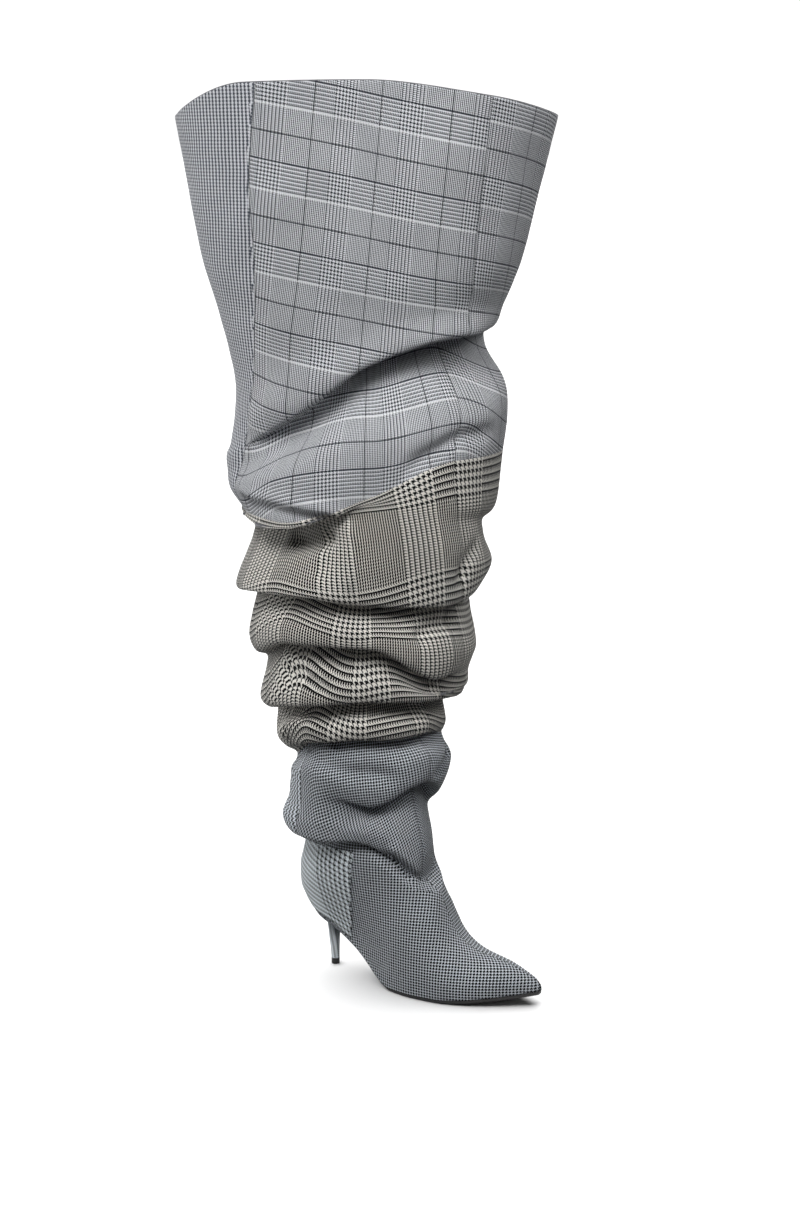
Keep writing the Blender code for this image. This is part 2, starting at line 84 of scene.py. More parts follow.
# Fineness of the cloth meshes
COLUMNS = 288              # points round each section
FOOT_ROWS = 64
ROW_STEP = 3.0             # between rows up the shaft
SECTION_SAMPLES = 721      # points along one side of a section, before they are spaced evenly
SOLID_FOOT_ROWS = 12       # rows of the solids' foot, which set the slope at the ankle line
COUNTER_GRID = (40, 92)    # rows and columns of the heel's panel
COUNTER_GRAIN = 0.32       # how far the weft of the heel's panel falls towards its front
BACK_ROWS = 54.0           # from the back of that panel to where its check begins on each side
HEEL_TURN = -8.0
INNER_TURN = 35.0          # and on the inner side of the foot
VAMP_TURN = 50.0
EDGE_ROWS = 3              # rows round the turned edge of the cloth
HEEL_SIDES = 72
HEEL_STEP = 1.5            # between rows up the heel
HEEL_SHARP = 50.0          # degrees from which its edges stay sharp

# Sole: shares of foot length, ball width (outer and inner half) and heel height
#        along  outer  inner  bottom
SOLE = [(0.039, 0.310, 0.310, 1.000),
        (0.088, 0.322, 0.318, 0.944),
        (0.137, 0.329, 0.312, 0.857),
        (0.186, 0.322, 0.289, 0.756),
        (0.235, 0.316, 0.263, 0.614),
        (0.284, 0.322, 0.243, 0.470),
        (0.333, 0.349, 0.250, 0.298),
        (0.382, 0.395, 0.289, 0.127),
        (0.422, 0.441, 0.336, 0.029),
        (0.461, 0.480, 0.388, 0.000),
        (0.553, 0.526, 0.461, 0.000),
        (0.645, 0.522, 0.474, 0.000),
        (0.740, 0.463, 0.428, 0.025),
        (0.830, 0.349, 0.322, 0.070),
        (0.920, 0.200, 0.184, 0.120),
        (0.970, 0.110, 0.100, 0.152),
        (1.000, 0.060, 0.055, 0.167)]

# Top line of the foot: the ankle line from the back, then the ridge down to the toe
#       along  height, as shares of foot length and instep height
TOP = [(0.029, 1.347),
       (0.157, 1.398),
       (0.294, 1.418),
       (0.392, 1.347),
       (0.471, 1.214),
       (0.545, 1.070),
       (0.587, 1.000),
       (0.612, 0.860),
       (0.640, 0.690),
       (0.670, 0.580),
       (0.715, 0.485),
       (0.760, 0.435),
       (0.805, 0.410),
       (0.860, 0.380),
       (0.900, 0.345),
       (0.940, 0.300),
       (0.972, 0.258),
       (1.000, 0.190)]

# Back of the heel: share of the way from the sole up to the ankle line, and distance behind it
#             level  back
HEEL_BACK = [(0.00, 13.0),
             (0.10, 5.5),
             (0.25, 0.5),
             (0.40, 0.0),
             (0.60, 1.0),
             (0.80, 4.5),
             (1.00, 8.0)]

# Six directions round the shaft, in degrees from the toe; the outer side is negative
DIRECTIONS = (-150.0, -105.0, -60.0, -15.0, 30.0, 120.0)

# Each fold, from the thigh down: the height of its lip in the six directions, from the floor, and
# for the lowest one, from the ankle line
#              outer                       inner  inner
#              back   outer  front  front  front  back
LIP_HEIGHT = {
    "thigh":   (512.0, 548.0, 603.0, 626.0, 623.0, 560.0),
    "knee":    (448.0, 458.0, 468.0, 464.0, 452.0, 446.0),
    "calf":    (384.0, 396.0, 389.0, 383.0, 380.0, 378.0),
    "shin":    (319.0, 349.0, 347.0, 310.0, 308.0, 312.0),
    "low":     (272.0, 287.0, 295.0, 291.0, 283.0, 270.0),
    "seam":    (224.0, 250.0, 256.0, 255.0, 243.0, 232.0),
    "ankle":   (192.0, 190.0, 187.0, 209.0, 174.0, 180.0),
    "foot":    (13.0, 12.0, 16.0, 9.0, 10.0, 12.0)}

# How far each fold hangs over: 0 is a soft valley and 1 a full overhanging tuck
TUCK = {
    "thigh":   (0.00, 0.80, 1.00, 1.00, 0.30, 0.10),
    "knee":    (0.00, 1.00, 0.05, 0.00, 0.00, 0.40),
    "calf":    (0.60, 1.00, 1.00, 0.90, 0.00, 0.70),
    "shin":    (0.40, 1.00, 1.00, 0.70, 0.00, 0.50),
    "low":     (0.60, 1.00, 1.00, 1.00, 0.80, 0.70),
    "seam":    (0.10, 1.00, 1.00, 0.80, 0.20, 0.60),
    "ankle":   (0.00, 0.00, 0.80, 1.00, 0.00, 0.10),
    "foot":    (0.60, 1.00, 1.00, 0.20, 0.00, 0.60)}

# Reach of the roll above each fold, from the shaft's axis
ROLL_REACH = {
    "thigh":   (122.0, 115.0, 98.0, 116.0, 122.0, 106.0),
    "knee":    (128.0, 119.0, 99.0, 112.0, 127.0, 100.0),
    "calf":    (124.0, 112.0, 96.0, 106.0, 114.0, 98.0),
    "shin":    (112.0, 104.0, 90.0, 97.0, 101.0, 90.0),
    "low":     (103.0, 94.0, 82.0, 86.0, 90.0, 80.0),
    "seam":    (88.0, 80.0, 70.0, 74.0, 72.0, 70.0),
    "ankle":   (75.0, 71.0, 64.0, 74.0, 77.0, 66.0),
    "foot":    (84.0, 70.0, 58.0, 65.0, 59.0, 58.0)}

# Reach of the valley under each roll
VALLEY_REACH = {
    "thigh":   (130.0, 94.0, 70.0, 80.0, 105.0, 100.0),
    "knee":    (105.0, 87.0, 97.0, 108.0, 104.0, 88.0),
    "calf":    (104.0, 84.0, 74.0, 86.0, 93.0, 82.0),
    "shin":    (96.0, 78.0, 68.0, 80.0, 93.0, 78.0),
    "low":     (87.0, 68.0, 58.0, 62.0, 68.0, 62.0),
    "seam":    (70.0, 58.0, 53.0, 57.0, 68.0, 56.0),
    "ankle":   (77.0, 69.0, 46.0, 51.0, 56.0, 56.0),
    "foot":    (62.0, 48.0, 46.0, 62.0, 61.0, 50.0)}

# Plain rings of the shaft: the collar, the thigh under it, and the seam between the two cloths
COLLAR_RISE = (-32.0, -3.0, -1.0, -14.0, -31.0, -33.0)
COLLAR_SHARE = (1.00, 0.87, 0.70, 0.87, 0.99, 0.73)
THIGH_HEIGHT = 690.0
THIGH_REACH = (149.0, 128.0, 106.0, 126.0, 138.0, 113.0)
KNEE_SEAM_HEIGHT = (464.0, 464.0, 488.0, 518.0, 517.0, 480.0)
KNEE_SEAM_REACH = (117.0, 116.0, 98.0, 112.0, 124.0, 98.0)

# Where a roll is widest, up the way from its lip to the lip above
CREST_SHARE = {
    "thigh":   (0.40,) * 6,
    "knee":    (0.52, 0.52, 0.52, 0.58, 0.70, 0.52),
    "calf":    (0.12, 0.14, 0.30, 0.42, 0.42, 0.42),
    "shin":    (0.35,) * 6,
    "low":     (0.20, 0.22, 0.32, 0.35, 0.35, 0.35),
    "seam":    (0.35,) * 6,
    "ankle":   (0.58, 0.58, 0.58, 0.58, 0.68, 0.58),
    "foot":    (0.35,) * 6}

# Shape of a fold
TUCK_RISE = 5.0            # how far a full tuck goes up behind its lip
LIP_ROUND = 3.0            # how far a full lip draws in under its roll
SMOOTH_STEP = 12.0         # spacing of the same rows where the cloth is smooth

# Under each lip: how far down the valley goes, and how far out of it the cloth has come there
CREASE = {"thigh": (13.0, 0.06), "knee": (9.0, 0.10), "calf": (6.0, 0.20), "shin": (9.0, 0.12),
          "low": (7.0, 0.15), "seam": (5.0, 0.25), "ankle": (8.0, 0.10)}

# Heel: centre along the foot, half length and half width, at shares of the heel's height from the
# tip up, and the same three sizes at the tip and under the sole
#        height centre length width
HEEL = [(0.30, 33.5, 4.6, 4.5),
        (0.48, 33.0, 5.6, 5.4),
        (0.64, 33.5, 7.0, 6.8),
        (0.78, 34.0, 9.2, 9.0)]
HEEL_TIP = (34.0, 3.9, 3.8)
HEEL_SEAT = (34.5, 13.0, 12.0)
TOP_PIECE_HEIGHT = 5.6

# Upright seams of the shaft: degrees round the shaft at heights from the floor
OUTER_SEAM = ((60.0, -124.0), (250.0, -124.0), (300.0, -136.0), (400.0, -140.0), (500.0, -133.0),
              (600.0, -119.0), (690.0, -109.0), (760.0, -107.0), (845.0, -100.0))
BACK_STRIP = 78.0          # width of the coarser check behind that seam, on the ankle
FRONT_SEAM = ((60.0, -8.0), (215.0, -12.0), (360.0, -6.0), (430.0, -8.0), (505.0, -17.0),
              (584.0, -12.0), (650.0, -11.0), (705.0, -14.0), (845.0, -15.0))
SEAM_DIP = 0.7             # depth of the soft groove along a seam
SEAM_WIDTH = 2.6           # and its half width

# Creases of the slack cloth: shape, half width, depth, and the line that it follows
# as (degrees round the shaft, height from the floor)
CREASES = [
    # thigh: the soft ridge at the back end of the drape, the pouch over the seam and its hollow
    ("ridge", 14.0, 3.5, ((-126, 540), (-118, 558), (-108, 570), (-98, 577))),
    ("lip", 7.0, 4.0, ((-133, 486), (-119, 482), (-104, 482), (-86, 476), (-72, 470))),
    ("trough", 8.0, 6.0, ((-47, 504), (-35, 522), (-25, 531), (-16, 539), (-2, 541), (14, 541))),
    # first roll of the middle: upright fold with a hollow behind it, and the crease at its front
    ("ridge", 6.0, 6.0, ((-72, 471), (-69, 449), (-69, 432), (-69, 398))),
    ("trough", 9.0, 5.0, ((-88, 456), (-84, 444), (-84, 430), (-86, 412))),
    ("trough", 8.0, 9.0, ((-112, 444), (-100, 447), (-88, 450), (-76, 453))),
    ("trough", 7.0, 5.0, ((7, 440), (-4, 429), (-8, 413), (-9, 402))),
    # second and third roll
    ("trough", 8.0, 7.0, ((-34, 352), (-25, 364), (-13, 367), (2, 370))),
    ("lip", 7.5, 5.0, ((-126, 325), (-114, 326), (-103, 325), (-92, 320), (-80, 311))),
    # fourth roll
    ("ridge", 7.0, 5.5, ((-130, 245), (-129, 257), (-118, 267), (-104, 269), (-90, 264))),
    # ankle
    ("trough", 8.0, 5.0, ((-121, 234), (-99, 231), (-84, 227), (-63, 225), (-48, 223), (-30, 219))),
    ("ridge", 7.0, 3.0, ((-121, 240), (-104, 245), (-90, 245))),
    ("trough", 5.5, 6.5, ((24, 231), (14, 226), (4, 219), (-8, 211))),
    ("lip", 7.0, 4.0, ((-48, 150), (-41, 145), (-34, 138), (-27, 130), (-20, 120), (-14, 112))),
]

# How the cloth has slipped and turned as it slouched, from one ring up to another: how far the
# pattern lies lower and to the right, and how far its weft falls to the right and its warp leans for
# each millimetre, the last three as the value at the lower and at the upper ring
#          from          to             lower  slip           fall            lean
SLOUCH = [("foot_tuck",  "ankle_roll",  0.0,   (0.0, 0.0),    (-0.34, -0.06), (-0.20, -0.04)),
          ("ankle_roll", "seam_tuck",   0.0,   (0.0, 0.0),    (-0.06, -0.06), (-0.04, -0.04)),
          ("seam_tuck",  "low_tuck",    55.6,  (14.0, 14.0),  (0.00, 0.00),   (0.00, 0.00)),
          ("low_tuck",   "shin_tuck",   -24.4, (38.0, 38.0),  (0.00, 0.00),   (0.00, 0.00)),
          ("shin_tuck",  "calf_tuck",   0.0,   (19.0, 19.0),  (0.00, 0.00),   (0.00, 0.00)),
          ("calf_tuck",  "knee_seam",   -43.0, (10.0, -9.0),  (0.00, 0.00),   (0.00, 0.00)),
          ("knee_seam",  "thigh_tuck",  0.0,   (0.0, 0.0),    (-0.02, -0.02), (0.02, 0.02)),
          ("thigh_tuck", "collar",      0.0,   (0.0, 0.0),    (0.185, 0.185), (0.105, 0.105))]

# Slack: soft unevenness of the cloth, as (size across, depth)
SLACK = ((52.0, 1.6), (19.0, 0.5))
FOOT_SLACK = 0.15          # share of it that is left where the cloth is stretched over the last


def curve(knots, values, at, limit=True):
    """Smooth curve through the values at the knots; with limit it never overshoots them."""
    knots = np.asarray(knots, float)
    values = np.asarray(values, float)
    shape = (-1,) + (1,) * (values.ndim - 1)
    steps = np.diff(knots).reshape(shape)
    slopes = np.diff(values, axis=0) / steps
    before, after = slopes[:-1], slopes[1:]
    tangents = np.empty_like(values)
    tangents[0], tangents[-1] = slopes[0], slopes[-1]
    if limit:
        product = before * after
        total = np.where(product > 0, before + after, 1.0)
        tangents[1:-1] = np.where(product > 0, 2 * product / total, 0.0)
    else:
        tangents[1:-1] = (before * steps[1:] + after * steps[:-1]) / (steps[1:] + steps[:-1])
    at = np.clip(np.asarray(at, float), knots[0], knots[-1])
    i = np.clip(np.searchsorted(knots, at, side="right") - 1, 0, len(knots) - 2)
    step = steps[i]
    t = ((at - knots[i]).reshape(shape)) / step
    return (values[i] * (1 + 2 * t) * (1 - t) ** 2 + tangents[i] * step * t * (1 - t) ** 2
            + values[i + 1] * t * t * (3 - 2 * t) + tangents[i + 1] * step * t * t * (t - 1))


def around(values, degrees):
    """A size given in the six directions, read smoothly at any angle round the shaft."""
    first, last = DIRECTIONS[0], DIRECTIONS[-1]
    knots = (last - 360.0,) + DIRECTIONS + (first + 360.0,)
    cyclic = (values[-1],) + tuple(values) + (values[0],)
    turned = (np.asarray(degrees) - first) % 360.0 + first
    return curve(knots, cyclic, turned)


def sole_column(column, x):
    """One column of the sole's table at a distance along the foot."""
    rows = np.array(SOLE)
    return curve(rows[:, 0] * FOOT_LENGTH, rows[:, column], x)


def sole_bottom(x):
    return sole_column(3, x) * HEEL_HEIGHT


def sole_top(x):
    thickness = curve((0.0, WAIST_END * FOOT_LENGTH, BALL * FOOT_LENGTH, FOOT_LENGTH),
                      (SOLE_WAIST, SOLE_WAIST, SOLE_FOREFOOT, SOLE_FOREFOOT), x)
    return sole_bottom(x) + thickness


def swing(x):
    """How far the middle of the foot lies to the inner side."""
    start = SWING_START * FOOT_LENGTH
    share = np.clip((x - start) / (FOOT_LENGTH - start), 0.0, 1.0)
    return TOE_SWING * share ** SWING_POWER


def end_round(x, back):
    """Share of the width left near the round heel and the round tip of the toe."""
    centre = HEEL_CENTRE * FOOT_LENGTH
    toe = TOE_ROUND * FOOT_LENGTH
    behind = np.clip((centre - x) / (centre - back), 0.0, 1.0)
    ahead = np.clip((x - toe) / (FOOT_LENGTH - toe), 0.0, 1.0)
    return np.sqrt((1 - behind ** 2) * (1 - ahead ** 2))


def foot_side(level, side):
    """One side of the foot's section at a level from the sole (0) to the ankle line (1)."""
    back = float(curve(*zip(*HEEL_BACK), [level])[0])
    ankle = ANKLE_FRONT * FOOT_LENGTH
    front = ankle + (FOOT_LENGTH - ankle) * (1 - level) ** (1 / RIDGE_POWER)
    middle, half = (back + front) / 2, (front - back) / 2
    x = middle - half * np.cos(np.linspace(0.0, math.pi, SECTION_SAMPLES))
    ahead = np.clip((x - ankle) / (FOOT_LENGTH - ankle), 0.0, 1.0)
    highest = np.maximum(1 - ahead ** RIDGE_POWER, 1e-9)
    climb = np.clip(level / highest, 0.0, 1.0) * math.pi / 2
    sole_half = sole_column(1 if side < 0 else 2, x) * BALL_WIDTH * end_round(x, back)
    opening = 1 - ((2 * x - back - ankle) / (ankle - back)) ** 2
    ankle_half = ANKLE_HALF_WIDTH * np.sqrt(np.clip(opening, 0.0, 1.0))
    swell = 1 + SIDE_SWELL * np.sin(2 * climb)
    y = np.hypot(sole_half * swell * np.cos(climb) ** FULLNESS, ankle_half * np.sin(climb))
    top = curve(*(np.array(TOP).T * [[FOOT_LENGTH], [INSTEP_HEIGHT]]), x)
    closing = curve((CLOSING_START * FOOT_LENGTH, ankle), (0.0, 1.0), x)
    rise = (1 - closing) * climb / (math.pi / 2) + closing * np.sin(climb) ** FULLNESS
    low = sole_top(x) + FEATHER_GAP
    return np.stack([x, swing(x) + side * y, low + (top - low) * rise], axis=1)


def way(points, axis=0):
    """Distance gone along the points, from the first of them to each one."""
    steps = np.linalg.norm(np.diff(points, axis=axis), axis=-1)
    return np.concatenate([np.zeros_like(steps.take([0], axis)), np.cumsum(steps, axis)], axis)


def even_points(line, count):
    """Points at even distances along a line, its last end left out."""
    lengths = way(line)
    at = np.linspace(0.0, lengths[-1], count + 1)[:-1]
    return np.stack([np.interp(at, lengths, line[:, k]) for k in range(3)], axis=1)


def foot_section(level):
    """A section round the foot: heel, outer side, toe, inner side."""
    outer = even_points(foot_side(level, -1.0), COLUMNS // 2)
    inner = even_points(foot_side(level, 1.0)[::-1], COLUMNS // 2)
    return np.concatenate([outer, inner])


def foot_levels():
    """Levels of the foot's rows, closest together at the sole."""
    return np.linspace(0.0, 1.0, FOOT_ROWS) ** LEVEL_POWER


def solid_level(row):
    """Level of one of the rows of the solids' foot."""
    return (row / (SOLID_FOOT_ROWS - 1)) ** LEVEL_POWER


def ring(degrees, reach, height):
    """A ring of the shaft from its reach and height at each angle."""
    angle = np.radians(degrees)
    x = SHAFT_AXIS * FOOT_LENGTH + reach * np.cos(angle)
    return np.stack([x, reach * np.sin(angle), height], axis=1)


def turn_of(points):
    """Degrees round the shaft, from the toe."""
    return np.degrees(np.arctan2(points[..., 1], points[..., 0] - SHAFT_AXIS * FOOT_LENGTH))


def shaft_rings(ankle_ring, below):
    """Named rings of the shaft, from the ankle line up to the collar."""
    degrees = turn_of(ankle_ring)
    names = list(LIP_HEIGHT)
    rings = [("below", below), ("ankle_line", ankle_ring)]
    under = None
    for k in reversed(range(len(names))):
        name = names[k]
        tables = LIP_HEIGHT, TUCK, ROLL_REACH, VALLEY_REACH, CREST_SHARE
        lip, tuck, reach, valley, crest = (around(table[name], degrees) for table in tables)
        lip += ankle_ring[:, 2] if name == "foot" else 0.0
        above = around(LIP_HEIGHT[names[k - 1]], degrees) if k else THIGH_HEIGHT
        crest *= above - lip
        smooth = np.minimum(SMOOTH_STEP, crest / 2) * (1 - tuck)
        if under is not None:
            depth, share = CREASE[name]
            shoulder = valley + share * (under - valley)
            drop = smooth + depth * tuck
            rings.append((name + "_under", ring(degrees, shoulder, lip - drop)))
        rings.append((name + "_tuck", ring(degrees, valley, lip + TUCK_RISE * tuck)))
        lip_reach = (reach + valley) / 2 * (1 - tuck) + (reach - LIP_ROUND) * tuck
        rings.append((name + "_lip", ring(degrees, lip_reach, lip + smooth)))
        if name == "knee":
            rings.append(("knee_seam", ring(degrees, around(KNEE_SEAM_REACH, degrees),
                                            around(KNEE_SEAM_HEIGHT, degrees))))
        rings.append((name + "_roll", ring(degrees, reach, lip + crest)))
        under = reach
    rings.append(("thigh_ring", ring(degrees, around(THIGH_REACH, degrees),
                                     np.full_like(degrees, THIGH_HEIGHT))))
    rings.append(("collar", ring(degrees, COLLAR_REACH * around(COLLAR_SHARE, degrees),
                                 COLLAR_HEIGHT + around(COLLAR_RISE, degrees))))
    return rings


def boot_surface():
    """Outer face of foot and shaft as rows of points, with the row number of each named ring."""
    rows = [foot_section(level) for level in foot_levels()]
    rings = shaft_rings(rows[-1], foot_section(solid_level(SOLID_FOOT_ROWS - 2)))
    points = np.array([ring_points for _, ring_points in rings])
    spans = np.linalg.norm(np.diff(points, axis=0), axis=2).mean(axis=1)
    knots = np.concatenate([[0.0], np.cumsum(np.sqrt(spans))])
    named = {"feather": 0, "ankle_line": FOOT_ROWS - 1}
    at = []
    for k in range(1, len(rings) - 1):
        parts = max(2, math.ceil(spans[k] / ROW_STEP))
        at.extend(knots[k] + (knots[k + 1] - knots[k]) * np.arange(1, parts + 1) / parts)
        named[rings[k + 1][0]] = FOOT_ROWS - 1 + len(at)
    return np.concatenate([np.array(rows), curve(knots, points, at, limit=False)]), named


def outward(rows):
    """Unit normals of the rows of points."""
    round_ = np.roll(rows, -1, axis=1) - np.roll(rows, 1, axis=1)
    up = np.empty_like(rows)
    up[1:-1] = rows[2:] - rows[:-2]
    up[0], up[-1] = rows[1] - rows[0], rows[-1] - rows[-2]
    normals = np.cross(round_, up)
    return normals / np.maximum(np.linalg.norm(normals, axis=2, keepdims=True), 1e-9)


def wrapped(degrees):
    """An angle as its turn from -180 to 180."""
    return (np.asarray(degrees) + 180.0) % 360.0 - 180.0


def seam_turn(seam, heights):
    """Degrees round the shaft of an upright seam at each height."""
    return curve(*zip(*seam), np.ravel(heights)).reshape(np.shape(heights))


def on_shaft(rows, degrees, turn, height):
    """Row and column of the outermost point of the shaft at an angle and a height."""
    j = int(np.argmin(np.abs(wrapped(degrees - turn))))
    line = rows[:, j]
    crossing = np.nonzero((line[:-1, 2] - height) * (line[1:, 2] - height) <= 0)[0]
    reach = np.hypot(line[crossing, 0] - SHAFT_AXIS * FOOT_LENGTH, line[crossing, 1])
    return int(crossing[np.argmax(reach)]), j


CREASE_SAMPLES = 90        # points along a crease's line
EVENING = 13               # samples that are averaged to even out a crease's line
CREASE_TAPER = 0.22        # share of a crease's length over which it fades at each end
LIP_PEAK = 2.33            # makes the two sides of a lip as deep as the table says
FACING = (0.1, 0.6)        # cosine to the crease's own side of the cloth, from no share of it to all


def evened(line):
    """A line of points without the small steps of the rows and columns that it was read from."""
    ends = np.pad(line, ((EVENING // 2, EVENING // 2), (0, 0)), mode="edge")
    share = np.full(EVENING, 1.0 / EVENING)
    return np.stack([np.convolve(ends[:, k], share, "valid") for k in range(3)], axis=1)


def crease_shift(rows, normals, degrees, first_row):
    """How far each point moves out of the surface along its normal, by the creases."""
    shift = np.zeros(rows.shape[:2])
    shaft, out = rows[first_row:], normals[first_row:]
    for shape, width, depth, route in CREASES:
        turns, heights = np.array(route, float).T
        t = np.linspace(0.0, 1.0, CREASE_SAMPLES)
        knots = np.linspace(0.0, 1.0, len(route))
        places = [on_shaft(shaft, degrees, a, h)
                  for a, h in zip(curve(knots, turns, t, False), curve(knots, heights, t, False))]
        line = evened(np.array([shaft[i, j] for i, j in places]))
        line_out = np.array([out[i, j] for i, j in places])
        fade = np.clip(np.minimum(t, 1 - t) / CREASE_TAPER, 0.0, 1.0)
        fade = fade * fade * (3 - 2 * fade)
        low, high = line.min(axis=0) - 3 * width, line.max(axis=0) + 3 * width
        near = ((shaft > low) & (shaft < high)).all(axis=2)
        points, point_out = shaft[near], out[near]
        apart = np.linalg.norm(points[:, None] - line[None], axis=2)
        nearest = apart.argmin(axis=1)
        across = apart[np.arange(len(points)), nearest] / width
        facing = np.interp((point_out * line_out[nearest]).sum(axis=1), FACING, (0.0, 1.0))
        amount = depth * fade[nearest] * facing * np.exp(-across ** 2)
        if shape == "trough":
            amount = -amount
        elif shape == "lip":
            side = np.sign(points[:, 2] - line[nearest, 2])
            amount = amount * across * side * LIP_PEAK
        shift[first_row:][near] += amount
    return shift


def slack_shift(rows, first_row):
    """Soft unevenness of the cloth, strongest on the slack shaft."""
    shift = np.zeros(rows.shape[:2])
    for size, depth in SLACK:
        flat = [noise.noise(Vector(point)) for point in (rows / size).reshape(-1, 3)]
        shift += depth * np.array(flat).reshape(rows.shape[:2])
    shift[:first_row] *= FOOT_SLACK
    return shift


def seam_dips(heights, degrees, reach):
    """The soft groove along each upright seam of the shaft."""
    dip = np.zeros(heights.shape)
    for seam in (OUTER_SEAM, FRONT_SEAM):
        away = np.radians(wrapped(degrees[None] - seam_turn(seam, heights))) * reach[:, None]
        dip -= SEAM_DIP * np.exp(-(away / SEAM_WIDTH) ** 2)
    return dip


def cloth_reach(count, named):
    """The tube's own mean radius at each row, without its folds."""
    knots = [named["ankle_line"]]
    reach = [np.mean(ROLL_REACH["foot"])]
    for name in reversed(LIP_HEIGHT):
        knots.append(named[name + "_roll"])
        reach.append(np.mean(ROLL_REACH[name]))
    knots += [named["thigh_ring"], named["collar"]]
    reach += [np.mean(THIGH_REACH), COLLAR_REACH * np.mean(COLLAR_SHARE)]
    return curve(knots, reach, np.arange(count))


def foot_girth(levels, rows):
    """Height of the sole's edge plus the way up round the foot, for each point of the foot's rows."""
    x = np.linspace(0.0, FOOT_LENGTH, SECTION_SAMPLES)
    up = np.empty(rows.shape[:2])
    for side, columns in ((-1.0, slice(0, COLUMNS // 2 + 1)), (1.0, slice(COLUMNS // 2 + 1, COLUMNS))):
        climb, before = sole_top(x) + FEATHER_GAP, None
        for i, level in enumerate(levels):
            line = foot_side(level, side)
            here = np.stack([np.interp(x, line[:, 0], line[:, k]) for k in (1, 2)], axis=1)
            if before is not None:
                climb = climb + np.linalg.norm(here - before, axis=1)
            before = here
            up[i, columns] = np.interp(rows[i, columns, 0], x, climb)
    return up


def linked(name, data):
    """A new object in the scene."""
    made = bpy.data.objects.new(name, data)
    bpy.context.scene.collection.objects.link(made)
    return made


def add_mesh(name, points, faces, materials, layers, material_index=None):
    """A piece as a smooth mesh in metres, with its UV layers, on the boot's one body."""
    mesh = bpy.data.meshes.new(name)
    moved = (points.reshape(-1, 3) - [TREAD * FOOT_LENGTH, 0.0, 0.0]) / 1000.0
    mesh.from_pydata(moved.tolist(), [], faces)
    for layer, corners in layers:
        uv = mesh.uv_layers.new(name=layer)
        uv.data.foreach_set("uv", np.asarray(corners, np.float32).ravel())
    for material in materials:
        mesh.materials.append(material)
    if material_index is not None:
        mesh.polygons.foreach_set("material_index", np.asarray(material_index, np.int32))
    mesh.shade_smooth()
    mesh.update()
    made = linked(name, mesh)
    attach(made, "root")
    return made


def grid_faces(rows, columns, closed_rows=False, closed_columns=False):
    """Faces of a grid of points, which may close from its last row or column back to the first."""
    i, j = np.meshgrid(np.arange(rows if closed_rows else rows - 1),
                       np.arange(columns if closed_columns else columns - 1), indexing="ij")
    next_i, next_j = (i + 1) % rows, (j + 1) % columns
    corners = (i, j), (i, next_j), (next_i, next_j), (next_i, j)
    return np.stack([a * columns + b for a, b in corners], axis=-1).reshape(-1, 4)


def turned_edge(outer, inner, beyond):
    """Rows round the turned edge of a wall, from its outer to its inner face."""
    middle, half = (outer + inner) / 2, (outer - inner) / 2
    along = beyond / np.linalg.norm(beyond, axis=1, keepdims=True) * np.linalg.norm(
        half, axis=1, keepdims=True)
    angles = np.linspace(0.0, math.pi, EDGE_ROWS + 2)[1:-1]
    return [middle + half * math.cos(a) + along * math.sin(a) for a in angles]


def tube(name, outer, inner, rounded_foot, coordinates, materials):
    """A cloth tube as one closed wall: outer face up, turned edge, lining down, turned edge.

    coordinates holds UV layers, each as (name, function of outer row and column grids to corner
    arrays), worked out for the outer face and used again on the lining.
    """
    rows, columns = outer.shape[:2]
    top = turned_edge(outer[-1], inner[-1], outer[-1] - outer[-2])
    foot = turned_edge(inner[0], outer[0], outer[0] - outer[1]) if rounded_foot else []
    loops = np.array([*outer, *top, *inner[::-1], *foot])
    source = np.array([*range(rows)] + [rows - 1] * len(top) + [*range(rows)][::-1] + [0] * len(foot))
    faces = grid_faces(len(loops), columns, True, True)
    corner_rows, corner_columns = source[faces // columns], faces % columns
    layers = [(layer, reading(corner_rows, corner_columns)) for layer, reading in coordinates]
    first = faces[:, 0] // columns
    lining = (first >= rows - 1) & (first < len(loops) - 1)
    return add_mesh(name, loops, faces.tolist(), materials, layers, lining)


def unwrapped(angles):
    """Corner angles of each face, brought next to the angle of the face's first corner."""
    return angles[:, :1] + wrapped(angles - angles[:, :1])


# Colours and nodes

WOOL_ROUGHNESS = 0.85
LINE_SHARE = 0.85          # how strongly a single thread colours its line
SEAM_LINE = (0.3, 1.2)     # half width of a seam's dark line, from full to none
SEAM_SHADE = 0.55
WEAVE_BUMP = 0.00022       # height of the threads, in metres
DRIFT = 0.06               # how far the cloth's tone drifts
DRIFT_PATCH = 38.46        # size of the patches in which it does
RIB = 0.987                # ribs of the lining, drawn coarser than real ones so that they show
RIB_BUMP = 0.0001          # and their height, in metres
DIAGONAL_WAVE = 10.0 * math.sqrt(2.0)   # radians of a diagonal wave texture for each unit across it

THIGH_START = (112.7, 73.1)
THIGH_STEP = (-19.6, 24.0)
MIDDLE_START = (57.6, 173.0)
MIDDLE_STEP = 30.0


def linear(hex_colour):
    """An sRGB hex colour as linear red, green, blue and alpha."""
    shares = [int(hex_colour[k:k + 2], 16) / 255 for k in (1, 3, 5)]
    return [s / 12.92 if s <= 0.04045 else ((s + 0.055) / 1.055) ** 2.4 for s in shares] + [1.0]


def add(tree, kind, inputs=(), output=0, **settings):
    """Adds a node, sets it, feeds its inputs by links or values, and gives one of its outputs."""
    node = tree.nodes.new("ShaderNode" + kind)
    for name, value in settings.items():
        setattr(node, name, value)
    for key, value in (inputs.items() if isinstance(inputs, dict) else enumerate(inputs)):
        if isinstance(value, bpy.types.NodeSocket):
            tree.links.new(value, node.inputs[key])
        else:
            node.inputs[key].default_value = value
    return node.outputs[output]


